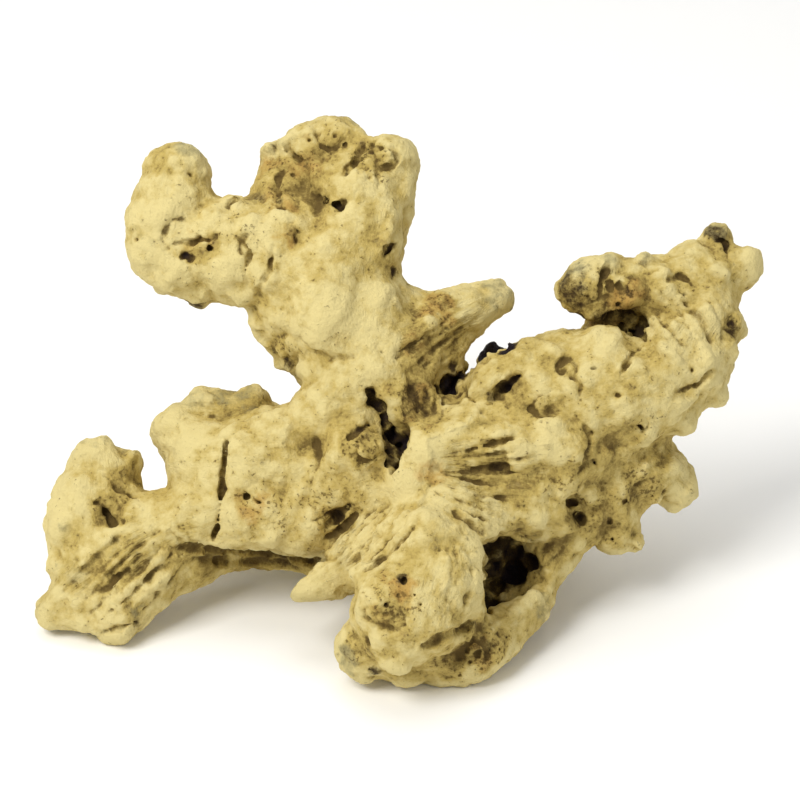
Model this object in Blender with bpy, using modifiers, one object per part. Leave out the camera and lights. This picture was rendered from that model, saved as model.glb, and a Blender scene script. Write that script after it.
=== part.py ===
"""A gnarled piece of sandblasted root wood, for a terrarium or an aquarium, as one closed solid.

The wood is laid out in its own face frame, in millimetres: across to the right, up the face, and out of
the face towards whoever looks at it. Each limb is a run of stations (across, up, out, radius). The face
then leans back, so that the piece stands on three feet: its left foot, its front foot and its back root.
"""

import math

import bmesh
import bpy
from mathutils import Vector

MM = 0.001
LEAN = math.radians(30)  # how far the face leans back from upright

STEPS_PER_SPAN = 6  # rings between two stations of a limb
CAP_RINGS = 5  # rings that round off each end of a limb
LIMB_SIDES = 6  # bevel resolution: 16 sides round each limb
SWELL = 1.7  # millimetres added to every radius, which the smoothing takes away again
VOXEL = 2.0 * MM  # the grid on which the limbs grow together
MELT_ROUNDS = 5  # rounds of smoothing that soften the seams between limbs
SWELLINGS = 16 * MM  # size of the broad lumps all over the wood
SWELLING_HEIGHT = 3.4 * MM
WARTS = 6 * MM  # size of the small lumps
WART_HEIGHT = 1.5 * MM
TRIANGLES = 11600
GROUND = -79.0 * MM  # height at which the feet are worn flat, before the origin is set

LIMBS = {
    # the heart of the root and the lobe to its left
    "heart": [(-62, -30, 2, 22), (-38, -30, 0, 25), (-8, -28, 2, 27), (22, -24, 4, 27), (48, -16, 4, 26)],
    "heart_back": [(-40, -24, -20, 18), (0, -16, -24, 23), (40, -10, -20, 18)],
    "lobe_top": [(-78, -8, -4, 8.5), (-66, -8, -4, 10), (-50, -15, -4, 11)],
    "lobe_side": [(-77, -24, 4, 15), (-60, -27, 6, 21)],
    "lobe_low": [(-77, -42, 8, 13), (-58, -42, 10, 15), (-36, -45, 10, 15)],
    "lobe_wart": [(-62, -20, 18, 9), (-46, -26, 18, 9)],
    "boss": [(-20, -20, 25, 8.5)],
    "shoulder": [(-42, -14, 12, 9), (-28, -2, 14, 11), (-22, 6, 14, 9)],
    # left foot
    "foot_neck": [(-70, -45, 4, 14), (-92, -52, 5, 15), (-112, -58, 6, 16.5)],
    "foot_horn": [(-120.5, -31, 0, 13), (-122, -45, 2, 16.5), (-123, -60, 4, 15)],
    "foot_horn_corner": [(-110, -26.5, -2, 4.5), (-113, -36, -1, 8)],
    "foot_spur": [(-138.5, -51, 0, 3.2), (-128, -50, 0, 8)],
    "foot_toe": [(-120, -62, 5, 15), (-128, -74, 6, 11), (-137, -83.5, 6, 6.5)],
    "foot_heel": [(-98, -66, 4, 13), (-109, -77, 8, 13), (-113.5, -84, 9, 11)],
    "foot_edge": [(-110, -80, 8, 12), (-126, -83, 8, 8)],
    "under_limb": [(-90, -64, -2, 12), (-72, -57, -12, 11.5), (-52, -56, -16, 10.5), (-32, -58, -14, 12)],
    # front foot, its toe and the spike beside it
    "front_foot": [(24, -42, 8, 24), (16, -60, 28, 25), (8, -74, 42, 24), (2, -81, 50, 19.5)],
    "front_foot_heel": [(2, -86, 42, 18), (-13, -96, 40, 11)],
    "front_foot_flank": [(26, -58, 30, 10), (22, -76, 40, 13), (14, -86, 42, 12)],
    "spike": [(8, -52, 16, 17), (-10, -60, 22, 12.5), (-25, -69.5, 26, 7.5), (-36, -74.5, 29, 3.6),
              (-43, -76.5, 30, 1.4)],
    "toe": [(60, -61, 4, 8.5), (52, -78, 12, 8), (41, -89.5, 22, 8.5), (27, -98, 32, 11.5),
            (12, -99, 36, 9.5), (0, -100, 38, 9)],
    "mouth_wall": [(68, -44, 4, 14), (63, -59, 2, 8.5), (53, -71, 4, 8)],
    "mouth_floor": [(22, -58, -8, 16), (42, -64, -8, 14), (48, -74, -4, 9)],
    "mouth_low": [(16, -78, 10, 14), (34, -80, 2, 9), (44, -78, 2, 8)],
    "brow": [(20, -42, 22, 11), (42, -42, 20, 11), (62, -44, 14, 11)],
    "ridge_low": [(4, -34, 26, 9), (24, -34, 26, 9), (44, -36, 24, 9), (60, -34, 20, 10)],
    "ridge": [(8, -20, 24, 10), (30, -17, 26, 10), (48, -20, 25, 10)],
    "ridge_lump": [(56, -19, 25, 9), (66, -20, 23, 10)],
    # trunk and its crown of knobs
    "trunk": [(-6, -8, 2, 23), (-14, 18, 2, 23), (-20, 40, 2, 20), (-20, 60, 2, 19.5),
              (-16, 78, 0, 19.5), (-10, 90, -2, 15)],
    "trunk_swell": [(-30, 30, 12, 14), (-28, 46, 12, 15), (-22, 62, 8, 14)],
    "crown_right": [(-8, 80, 2, 11.5), (-3, 94.5, 2, 9.5)],
    "crown_top": [(-22, 90, -6, 14), (-25, 100, -8, 12.5)],
    "crown_shoulder": [(-38, 102, -6, 8), (-32, 94, -6, 12)],
    "crown_thorn": [(-51.5, 99.5, -8, 4), (-49, 93, -7, 6.5)],
    "crown_left": [(-46, 87, -6, 11), (-48, 78, -5, 12), (-38, 70, -4, 18)],
    "trunk_left": [(-46, 58, 0, 22), (-40, 42, 0, 19), (-35, 27, 0, 15)],
    "trunk_edge": [(-47, 33, -2, 11.5), (-45, 25, -3, 9), (-30, 12, -2, 9)],
    "trunk_ledge": [(-46, 15.5, -4, 2.6), (-38, 16, -3, 6)],
    # upper left knob
    "neck": [(-46, 60, 0, 22), (-60, 59, 0, 20.5), (-72, 61, 0, 18.5), (-84, 62, 0, 17)],
    "knob": [(-89.5, 89, -2, 12.3), (-91.5, 76, 0, 15), (-92, 65, 0, 17), (-88, 58, 0, 15.5)],
    "knob_low": [(-86, 52, 0, 10.5), (-82, 46, -2, 6), (-81, 40.5, -4, 2)],
    # finger
    "finger": [(-2, 30, -2, 14), (14, 30, -4, 12.5), (27, 36, -6, 9), (37, 41, -8, 6.8)],
    "finger_web": [(4, 14, -2, 17), (13, 18, -4, 12), (20, 24, -5, 8.5)],
    "finger_fold": [(-4, 22, 12, 7), (8, 29, 8, 6), (20, 33, 3, 5)],
    # right arm
    "arm": [(30, -11, 2, 19), (55, -1, 4, 24), (78, 2, 4, 25), (96, 6, 2, 22.5),
            (109, 14, 0, 20.5), (118, 28, -2, 16.5), (120, 44, -4, 13)],
    "arm_low": [(70, -16, 4, 22), (92, -6, 0, 14), (104, 0, -2, 12)],
    "arm_bead": [(31, 4.5, 16, 5), (38, 11, 16, 6), (47, 16, 13, 7), (58, 14, 10, 9)],
    "arm_swell": [(88, 0, 18, 11), (98, 8, 16, 10), (108, 18, 12, 9)],
    "arm_lump": [(66, 8, 20, 8), (74, -4, 20, 9)],
    "arm_warts": [(133, 28, -4, 4.5), (124, 26, -2, 8.5)],
    "arm_wart_low": [(128.5, 10, -8, 3.2), (122, 10, -6, 7.5)],
    "horn_knob": [(77.5, 46, 4, 10.7), (90, 44, 2, 11.7), (104, 44, 0, 11.5), (116, 46, -3, 12)],
    "horn_wart": [(98, 53, -2, 4.5), (98, 46, -2, 7)],
    "horn_neck": [(83, 33, -10, 7), (83, 24, -9, 11)],
    "horn_hollow_wall": [(86, 30, -12, 8), (100, 30, -10, 11)],
    "horn_top": [(115, 48, -6, 11), (123, 56, -8, 8.5), (129, 65, -9, 4.2)],
    "horn_right": [(126, 50, -6, 9.5), (137, 53, -6, 7), (139.5, 56, -6, 5)],
    # lower right lobe
    "low_lobe": [(70, -28, 0, 18), (88, -28, -4, 15), (104, -29, -8, 12), (112, -37, -10, 5.7)],
    "low_knob": [(82, -38, -2, 14), (87, -51, -4, 9)],
    # the back: the root that carries the piece, a stub beside it, and the heartwood above them
    "back_root": [(22, -10, -25, 25), (32, -16, -52, 20), (40, -24, -74, 15), (42, -30, -90, 11)],
    "back_root_spur": [(36, -14, -50, 16), (62, -16, -62, 11), (78, -20, -66, 6)],
    "back_stub": [(-40, -20, -25, 18), (-54, -24, -46, 13), (-64, -28, -60, 7)],
    "back_ridge": [(-14, 10, -14, 14), (-24, 44, -16, 14), (-20, 70, -14, 13)],
    "heartwood": [(37, 4, -26, 9), (40, 13.5, -30, 7)],
}

# the hollows worn into the wood, cut as runs of stations too
HOLLOWS = {
    "mouth": [(50, -66, 24, 9), (44, -72, 16, 8.5), (36, -79, 18, 5)],
    "heart_hole": [(-10, 1, 30, 3.5), (-8, -8, 26, 5), (-1, -17, 26, 6)],
    "fork": [(20, 4, 18, 5), (22, 12, 10, 5)],
    "bead_slit": [(33, -2, 30, 2.5), (46, 8, 27, 4)],
    "horn_hollow": [(84, 34, 6, 3.5), (92, 30, 4, 5.5), (98, 26, 8, 4)],
    "foot_hollow": [(-112, -40, 20, 4), (-118, -48, 22, 4)],
    "low_hollow": [(68, -41, 24, 4.5), (73, -47, 20, 4)],
}


def to_world(across, up, out):
    """A point of the face frame, as the piece stands."""
    return Vector((
        across * MM,
        (up * math.sin(LEAN) - out * math.cos(LEAN)) * MM,
        (up * math.cos(LEAN) + out * math.sin(LEAN)) * MM,
    ))


def spline(values, span, t):
    """A smooth run through a list of vectors, at t between one of them and the next."""
    last = len(values) - 1
    before = values[max(span - 1, 0)]
    here = values[span]
    there = values[span + 1]
    after = values[min(span + 2, last)]
    bend = 2 * before - 5 * here + 4 * there - after
    turn = 3 * here - before - 3 * there + after
    return 0.5 * (2 * here + (there - before) * t + bend * t ** 2 + turn * t ** 3)


def rounded_end(end, inner):
    """The rings that round off an end, from its last ring outwards."""
    centre, radius = end
    away = (centre - inner[0]).normalized()
    turns = [math.radians(86) * (k + 1) / CAP_RINGS for k in range(CAP_RINGS)]
    return [(centre + away * radius * math.sin(turn), radius * math.cos(turn)) for turn in turns]


def rings_of(stations):
    """(centre, radius) of each ring of a limb, with both ends rounded off."""
    values = [
        Vector((*to_world(across, up, out), (radius + SWELL) * MM))
        for across, up, out, radius in stations
    ]
    if len(values) == 1:
        values.append(values[0] + Vector((0, MM, 0, 0)))
    run = [
        spline(values, span, step / STEPS_PER_SPAN)
        for span in range(len(values) - 1)
        for step in range(STEPS_PER_SPAN)
    ]
    rings = [(value.xyz, value.w) for value in run + values[-1:]]
    return rounded_end(rings[0], rings[1])[::-1] + rings + rounded_end(rings[-1], rings[-2])


def limb_mesh(name, stations):
    """A limb as the mesh of a bevelled curve."""
    curve = bpy.data.curves.new(name, "CURVE")
    curve.dimensions = "3D"
    curve.bevel_depth = MM
    curve.bevel_resolution = LIMB_SIDES
    curve.use_fill_caps = True
    rings = rings_of(stations)
    line = curve.splines.new("POLY")
    line.points.add(len(rings) - 1)
    for point, (centre, radius) in zip(line.points, rings):
        point.co = (*centre, 1)
        point.radius = radius / MM
    guide = bpy.data.objects.new(name, curve)
    bpy.context.scene.collection.objects.link(guide)
    graph = bpy.context.evaluated_depsgraph_get()
    mesh = bpy.data.meshes.new_from_object(guide.evaluated_get(graph))
    bpy.data.objects.remove(guide)
    return mesh


def joined(name, limbs):
    """A run of limbs in one object, each still whole, on the scene's own collection."""
    form = bmesh.new()
    for limb_name, stations in limbs.items():
        limb = limb_mesh(limb_name, stations)
        form.from_mesh(limb)
        bpy.data.meshes.remove(limb)
    bmesh.ops.remove_doubles(form, verts=form.verts, dist=0.01 * MM)
    bmesh.ops.recalc_face_normals(form, faces=form.faces)
    mesh = bpy.data.meshes.new(name)
    form.to_mesh(mesh)
    form.free()
    whole = bpy.data.objects.new(name, mesh)
    bpy.context.scene.collection.objects.link(whole)
    return whole


def grow_together(whole):
    """One skin over all the limbs of an object."""
    skin = whole.modifiers.new("grow_together", "REMESH")
    skin.mode = "VOXEL"
    skin.voxel_size = VOXEL


def lumps(whole, name, size, height):
    """Lumps of one size all over an object."""
    cloud = bpy.data.textures.new(name, "CLOUDS")
    cloud.noise_scale = size
    cloud.noise_depth = 1
    swell = whole.modifiers.new(name, "DISPLACE")
    swell.texture = cloud
    swell.texture_coords = "LOCAL"
    swell.strength = height
    swell.mid_level = 0.5


def settle(whole):
    """The object's modifiers made part of its mesh."""
    graph = bpy.context.evaluated_depsgraph_get()
    mesh = bpy.data.meshes.new_from_object(whole.evaluated_get(graph))
    whole.modifiers.clear()
    whole.data = mesh


def carve(whole, hollows):
    """The hollows cut out of the skin, and the skin closed over the cut."""
    grow_together(hollows)
    settle(hollows)
    cut = whole.modifiers.new("hollows", "BOOLEAN")
    cut.operation = "DIFFERENCE"
    cut.solver = "EXACT"
    cut.object = hollows
    grow_together(whole)


def thin_out(whole):
    """Fewer triangles, kept where the surface bends."""
    settle(whole)
    thin = whole.modifiers.new("thin_out", "DECIMATE")
    whole.data.calc_loop_triangles()
    thin.ratio = TRIANGLES / len(whole.data.loop_triangles)
    settle(whole)


def place(whole):
    """The wood moved so that the middle of its box is over the origin and the ground is at zero height."""
    above = [vertex.co for vertex in whole.data.vertices if vertex.co.z > GROUND]
    middle_x = (min(co.x for co in above) + max(co.x for co in above)) / 2
    middle_y = (min(co.y for co in above) + max(co.y for co in above)) / 2
    for vertex in whole.data.vertices:
        vertex.co -= Vector((middle_x, middle_y, GROUND))


def flatten_feet(whole, cutters):
    """The feet cut off flat at the ground."""
    bpy.ops.mesh.primitive_cube_add(size=1, location=(0, 0, -0.05))
    ground = bpy.context.object
    ground.name = "ground_cutter"
    ground.data.transform(ground.matrix_basis.Scale(0.1, 4, Vector((0, 0, 1))))
    ground.data.transform(ground.matrix_basis.Scale(0.5, 4, Vector((1, 0, 0))))
    for old in list(ground.users_collection):
        old.objects.unlink(ground)
    cutters.objects.link(ground)
    ground.hide_render = True
    ground.display_type = "WIRE"
    cut = whole.modifiers.new("flat_feet", "BOOLEAN")
    cut.operation = "DIFFERENCE"
    cut.solver = "EXACT"
    cut.object = ground


def wood_material():
    """Pale, dry, sandblasted wood."""
    material = bpy.data.materials.new("wood")
    material.use_nodes = True
    shader = material.node_tree.nodes["Principled BSDF"]
    shader.inputs["Base Color"].default_value = (0.48, 0.38, 0.16, 1)
    shader.inputs["Roughness"].default_value = 0.82
    shader.inputs["Metallic"].default_value = 0
    return material


def main():
    for old in list(bpy.data.objects):
        bpy.data.objects.remove(old)
    parts = bpy.data.collections.new("piece_of_wood")
    cutters = bpy.data.collections.new("cutters")
    bpy.context.scene.collection.children.link(parts)
    bpy.context.scene.collection.children.link(cutters)
    wood = joined("gnarled_wood", LIMBS)
    hollows = joined("hollows", HOLLOWS)
    grow_together(wood)
    carve(wood, hollows)
    melt = wood.modifiers.new("melt", "SMOOTH")
    melt.iterations = MELT_ROUNDS
    lumps(wood, "swellings", SWELLINGS, SWELLING_HEIGHT)
    lumps(wood, "warts", WARTS, WART_HEIGHT)
    thin_out(wood)
    bpy.data.objects.remove(hollows)
    place(wood)
    bpy.context.scene.collection.objects.unlink(wood)
    parts.objects.link(wood)
    flatten_feet(wood, cutters)
    wood.data.materials.clear()
    wood.data.materials.append(wood_material())


main()
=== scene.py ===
"""The looks of a gnarled piece of sandblasted root wood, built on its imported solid.

The solid's skin is taken as a field of distances, in millimetres, in the wood's own face frame: across to
the right, up the face, and out of the face. Knobs, strands, pits and cracks are worked into that field
where they are seen from the front. It is skinned again as one closed mesh, Geometry Nodes raise lumps and
grain on it and press pores into it, and it is thinned.
"""

import copy
import itertools
import math

import bmesh
import bpy
import numpy as np
import openvdb
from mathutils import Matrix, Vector

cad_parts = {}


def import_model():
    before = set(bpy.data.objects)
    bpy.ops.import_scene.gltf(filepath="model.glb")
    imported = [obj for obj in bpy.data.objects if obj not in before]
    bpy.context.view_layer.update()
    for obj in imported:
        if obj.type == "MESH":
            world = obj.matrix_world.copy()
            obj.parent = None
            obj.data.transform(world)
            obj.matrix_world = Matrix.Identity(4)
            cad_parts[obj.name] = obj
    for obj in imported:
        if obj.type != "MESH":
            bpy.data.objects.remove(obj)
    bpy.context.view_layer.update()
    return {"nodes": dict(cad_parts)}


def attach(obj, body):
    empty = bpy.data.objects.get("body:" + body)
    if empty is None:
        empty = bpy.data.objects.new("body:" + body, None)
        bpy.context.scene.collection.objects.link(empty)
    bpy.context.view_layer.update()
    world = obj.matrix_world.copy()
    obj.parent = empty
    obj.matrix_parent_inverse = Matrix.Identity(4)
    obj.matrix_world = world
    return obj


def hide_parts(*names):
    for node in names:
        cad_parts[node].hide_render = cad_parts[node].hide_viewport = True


LEAN = math.radians(30)  # how far the face leans back from upright
FACE_MIDDLE = (-0.66, 15.05, 79.0)  # where the middle of the face is in the row frame, in millimetres
EYE = 1200.0  # how far in front of the face it is seen from
SIGHT = (90, -100, -0.4)  # where a line of sight starts and ends, out of the face, and its step
OUT = np.array([0, 0, 1.0])  # straight out of the face

CELL = 0.8  # size of the field's cells
BAND = 11  # cells of true distance on each side of the skin
MARGIN = 4  # spare cells round the field
REGROWN = 0.35  # what smoothing wears off the skin, put back
SEED = 20
TRIANGLES = 190000


# ---------------------------------------------------------------- frames

def face_axes():
    """Rows: across, up and out of the face, in the row frame."""
    lean_sin = math.sin(LEAN)
    lean_cos = math.cos(LEAN)
    return np.array([[1, 0, 0], [0, lean_sin, lean_cos], [0, -lean_cos, lean_sin]])


def to_face(points):
    """Row frame in metres to face frame in millimetres."""
    return (points * 1000 - np.array(FACE_MIDDLE)) @ face_axes().T


def to_row(points):
    """Face frame in millimetres to row frame in metres."""
    return (points @ face_axes() + np.array(FACE_MIDDLE)) / 1000


def in_sight(across, up, out):
    """The point, so far out of the face, that shows at (across, up) from in front of the face's middle."""
    narrow = 1 - out / EYE
    return np.stack([across * narrow, up * narrow, out], axis=-1)


# ---------------------------------------------------------------- the field

def merged_mesh(node):
    """(points, triangles) of a CAD node, its loose triangles joined at their corners."""
    form = bmesh.new()
    form.from_mesh(node.data)
    bmesh.ops.remove_doubles(form, verts=form.verts, dist=1e-6)
    bmesh.ops.triangulate(form, faces=form.faces)
    points = np.array([vert.co for vert in form.verts])
    triangles = np.array([[vert.index for vert in face.verts] for face in form.faces])
    form.free()
    return points, triangles


class Field:
    """Distances from the skin on a grid in the face frame: below zero in the wood."""

    def __init__(self, points, triangles):
        self.cell = CELL
        self.transform = openvdb.createLinearTransform(voxelSize=CELL)
        grid = openvdb.FloatGrid.createLevelSetFromPolygons(
            points.astype(np.float32), triangles=triangles.astype(np.int32),
            transform=self.transform, halfWidth=BAND)
        low, high = grid.evalActiveVoxelBoundingBox()
        self.low = np.array(low) - MARGIN
        shape = np.array(high) - np.array(low) + 1 + 2 * MARGIN
        self.value = np.empty(tuple(shape), np.float32)
        grid.copyToArray(self.value, ijk=tuple(int(k) for k in self.low))

    def blurred(self, rounds, reach):
        """The distances averaged over a cube of 2 * reach + 1 cells, several times over."""
        out = self.value
        for _ in range(rounds):
            for axis in range(3):
                out = box_mean(out, reach, axis)
        return out

    def coarser(self):
        """The same field with every other cell, for wide averages."""
        other = copy.copy(self)
        other.cell = self.cell * 2
        other.low = self.low / 2
        other.value = np.ascontiguousarray(self.value[::2, ::2, ::2])
        return other

    def at(self, points, value=None):
        """The field's value, or that of another array on the same grid, at points between the cells."""
        value = self.value if value is None else value
        place = np.asarray(points) / self.cell - self.low
        place = np.clip(place, 0, np.array(value.shape) - 1.001)
        cell = place.astype(int)
        part = place - cell
        i, j, k = cell.T
        total = 0
        for di, dj, dk in itertools.product((0, 1), repeat=3):
            weight = abs(1 - di - part[:, 0]) * abs(1 - dj - part[:, 1]) * abs(1 - dk - part[:, 2])
            total = total + weight * value[i + di, j + dj, k + dk]
        return total

    def seen(self, across, up):
        """The point of the skin that shows at (across, up), from in front of the middle of the face."""
        line = in_sight(across, up, np.arange(*SIGHT))
        inside = self.at(line) < 0
        first = int(np.argmax(inside)) if inside.any() else len(line) // 2
        return line[first]

    def near(self, lo, hi):
        """Slices of the grid over a box, and the face-frame points of its cells."""
        first = np.maximum(np.floor(np.array(lo) / CELL).astype(int) - self.low, 0)
        last = np.minimum(np.ceil(np.array(hi) / CELL).astype(int) + 1 - self.low, self.value.shape)
        window = tuple(slice(a, b) for a, b in zip(first, last))
        axes = [(np.arange(a, b) + base) * CELL for a, b, base in zip(first, last, self.low)]
        return window, np.meshgrid(*axes, indexing="ij", sparse=True)

    def stroke(self, a, b, radii, seam, add, rough, fray):
        """A tapered rod from a to b, added to the wood or worn out of it.

        Its seam with the wood is blended, and its edge is frayed by so many millimetres of the rough noise.
        """
        reach = max(radii) + seam + 2
        window, (x, y, z) = self.near(np.minimum(a, b) - reach, np.maximum(a, b) + reach)
        old = self.value[window]
        if old.size == 0:
            return
        run = b - a
        length = max(float(run @ run), 1e-9)
        part = np.clip(((x - a[0]) * run[0] + (y - a[1]) * run[1] + (z - a[2]) * run[2]) / length, 0, 1)
        off = ((x - a[0] - part * run[0]) ** 2 + (y - a[1] - part * run[1]) ** 2
               + (z - a[2] - part * run[2]) ** 2)
        distance = np.sqrt(off) - (radii[0] + (radii[1] - radii[0]) * part)
        distance = distance + rough[window] * fray
        if add:
            mix = np.clip(0.5 + 0.5 * (old - distance) / seam, 0, 1)
            self.value[window] = old + (distance - old) * mix - seam * mix * (1 - mix)
        else:
            mix = np.clip(0.5 - 0.5 * (old + distance) / seam, 0, 1)
            self.value[window] = old + (-distance - old) * mix + seam * mix * (1 - mix)

    def skin(self):
        """(points, quads) of the zero level."""
        grid = openvdb.FloatGrid()
        grid.background = float(self.value.max())
        grid.copyFromArray(self.value, ijk=tuple(int(k) for k in self.low), tolerance=0.0)
        grid.transform = self.transform
        grid.gridClass = openvdb.GridClass.LEVEL_SET
        return grid.convertToQuads(isovalue=0.0)


def cells(axis, first, last):
    """The index of a run of cells along one axis of a grid."""
    return (slice(None),) * axis + (slice(first, last),)


def box_mean(value, reach, axis):
    """Running mean of 2 * reach + 1 cells along one axis; the end cells stand in for those beyond."""
    total = value.copy()
    for step in range(1, reach + 1):
        total[cells(axis, step, None)] += value[cells(axis, None, -step)]
        total[cells(axis, None, step)] += value[cells(axis, None, 1)]
        total[cells(axis, None, -step)] += value[cells(axis, step, None)]
        total[cells(axis, -step, None)] += value[cells(axis, -1, None)]
    total *= 1 / (2 * reach + 1)
    return total


def field_noise(shape, spacing, seed):
    """Smooth noise over a whole grid, with a standard deviation of one; its grain is spacing millimetres.

    Random values stand that far apart, with a cubic spline between them.
    """
    steps = spacing / CELL
    coarse = [int(count / steps) + 4 for count in shape]
    noise = np.random.default_rng(seed).standard_normal(coarse).astype(np.float32)
    for axis, count in enumerate(shape):
        noise = np.moveaxis(noise, axis, 0)
        place = np.arange(count) / steps
        cell = place.astype(int)
        part = (place - cell).astype(np.float32)[:, None, None]
        weights = (
            (1 - part) ** 3 / 6, (3 * part ** 3 - 6 * part ** 2 + 4) / 6,
            (1 + 3 * part + 3 * part ** 2 - 3 * part ** 3) / 6, part ** 3 / 6)
        noise = sum(weight * noise[cell + k] for k, weight in enumerate(weights))
        noise = np.ascontiguousarray(np.moveaxis(noise, 0, axis))
    return noise / noise.std()


# ---------------------------------------------------------------- what is worked into the wood
# Places are (across, up) as seen from the front; sizes are in millimetres.

ROUGH_GRAIN = 2.4  # grain of the noise that frays every edge

# (across, up, radius, rise, seam): knobs that stand up out of the skin
KNOBS = [
    # upper left arm
    (-89.5, 93, 11, 2.0, 2.5), (-95, 73, 14, 2.4, 3), (-87, 55, 11, 2.2, 2.5), (-101, 60, 8, 1.6, 2),
    (-66, 78, 5.5, 2.2, 1.5), (-57, 67, 8, 2.6, 2), (-75, 71, 7, 1.6, 2), (-68, 54, 10, 2.4, 2.5),
    (-53, 51, 8, 1.8, 2), (-39.5, 55, 8, 1.6, 2.5), (-51, 61, 4.5, 1.8, 1.5), (-62, 44, 6, 1.4, 2),
    (-78, 60, 5, 1.4, 1.5), (-99, 84, 6, 1.2, 2), (-81, 45, 6, 1.6, 2),
    # crown
    (-34, 101, 9, 2.2, 2.5), (-24, 105, 6, 1.6, 2), (-44, 101, 6, 1.6, 2), (-52.5, 100, 3.5, 2.2, 1.2),
    (-4.5, 96.5, 8.6, 2.6, 2), (-42, 90, 7, 1.6, 2), (-30, 88, 8, 1.2, 3), (-15, 86, 7, 1.2, 3),
    (-38, 76, 5, 1.4, 2), (-48, 84, 4, 1.4, 1.5), (-18, 105, 5, 1.4, 1.5),
    # trunk
    (-29.5, 34, 14, 2.2, 4), (-12, 66, 12, 1.4, 4), (-30, 60, 9, 1.2, 3), (-10, 40, 9, 1.4, 3),
    (-46, 34, 6, 1.6, 2), (-56, 31, 4, 2.0, 1.5), (-47, 20, 3.5, 2.0, 1.2), (-44, 14, 3, 2.0, 1.2),
    (-33, 12, 8, 1.6, 2.5), (-18, 8, 8, 1.6, 2.5),
    # middle and finger
    (-15, -20, 8, 3.0, 1.5), (-19, -17, 4, 1.6, 1.2), (-10, -25, 4.5, 1.6, 1.2), (-17, -26, 5, 1.4, 1.5),
    (-8, 12, 7, 1.4, 2), (12, -22, 10, 2.0, 3), (4, -33, 9, 1.4, 3), (7, -1, 8, 1.8, 2),
    (17, 38, 6, 1.8, 1.5), (28, 36, 7, 1.6, 2), (36, 41, 6, 1.2, 2), (10, 30, 5, 1.4, 2),
    # right arm
    (48, 16, 6, 1.8, 2), (62, 17, 6, 1.8, 1.5), (56, 9, 5, 1.4, 2), (82, 18, 12, 2.4, 3),
    (66, 4, 7, 1.2, 2.5), (58.4, -3, 6, 1.8, 1.5), (61, -16, 12, 2.6, 2.5), (76, -8, 8, 1.4, 2.5),
    (104, 0, 10, 1.8, 3), (90, 10, 9, 1.2, 3), (120, 13, 10, 2.0, 2.5), (126, 2, 6, 1.4, 2),
    (113, -8, 6, 1.2, 2), (97, -12, 7, 1.4, 2), (90, 1, 4, 1.4, 1.5), (108, 25, 8, 1.4, 2.5),
    (122, 32, 8, 1.4, 2.5), (133, 31, 5, 1.4, 1.5), (131, 20, 5, 1.4, 2),
    # horn
    (73, 44, 10, 2.0, 2), (85, 35, 6, 2.4, 2), (78, 37, 6, 2.0, 2), (92, 34, 4.5, 2, 1.5),
    (84, 53, 6, 1.6, 1.5), (91, 43, 6, 1.4, 1.5), (97.5, 55, 4, 1.8, 1.2), (104, 46, 8, 1.6, 2),
    (117, 57, 8, 2.0, 2), (128, 67, 5, 1.6, 1.5), (138, 56, 6, 1.0, 2), (112, 38, 6, 1.2, 2),
    (126, 50, 6, 1.2, 2),
    # lower right
    (81, -22, 5, 1.8, 1.5), (88, -35, 6, 1.8, 1.5), (98, -28, 7, 1.4, 2), (107, -27, 6, 1.6, 1.5),
    (115, -37, 5, 1.4, 1.5), (94, -57, 4, 1.6, 1.5), (84, -56, 5, 1.6, 1.5), (74, -36, 5, 1.6, 1.5),
    (70, -56, 5, 1.4, 2), (102, -38, 4, 1.4, 1.5), (78, -48, 4, 1.4, 1.2), (62, -44, 5, 1.2, 2),
    (52, -46, 7, 1.4, 2),
    # left lobe and foot
    (-50.7, -17, 15, 2.6, 2.5), (-88, -13, 12, 1.4, 3), (-79, -2, 8, 1.4, 2.5), (-60, -2, 8, 1.2, 2),
    (-63, -48, 7, 1.6, 2), (-83, -44, 8, 1.4, 2.5), (-40, -36, 7, 1.4, 2), (-36, -50, 6, 1.4, 2),
    (-30, -28, 6, 1.2, 2), (-52, -54, 5, 1.4, 1.5), (-123, -22, 8, 1.6, 2), (-108, -24, 5, 1.6, 1.5),
    (-128, -36, 8, 1.8, 2), (-134, -52, 7, 1.6, 2), (-136, -66, 6, 1.2, 2), (-113, -91, 6, 1.6, 2),
    (-126, -88, 4, 1.2, 1.5), (-95, -52, 6, 1.2, 2),
    # front lobe and toe
    (-5, -82, 12, 2.4, 2), (10, -56, 12, 1.4, 4), (18, -70, 10, 1.2, 4), (12, -90, 11, 1.6, 3),
    (-16, -98, 8, 1.6, 2), (-2, -103, 7, 1.4, 2), (30, -99, 10, 2.4, 2), (50, -84, 6, 1.2, 2),
    (-14, -70, 6, 1.2, 2),
]

# (places, radius, rise): single strands that lie along the skin
STRANDS = [
    ([(29, 1), (37, 6.5), (45.6, 13.4)], 4.6, 2.6), ([(-81, -22), (-70, -14), (-57, -6)], 2.0, 1.2),
    ([(98, 28), (108, 18), (118, 6)], 3.0, 1.4), ([(108, 32), (118, 24), (126, 12)], 2.6, 1.2),
    ([(-8, 84), (-6, 70), (-9, 56)], 4.0, 1.2), ([(100, 4), (112, -2), (126, 8)], 2.4, 1.2),
    ([(-84, -56), (-70, -57), (-56, -56)], 2.0, 1.2), ([(36, -92), (50, -82), (62, -70)], 3.0, 1.2),
]

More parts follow.
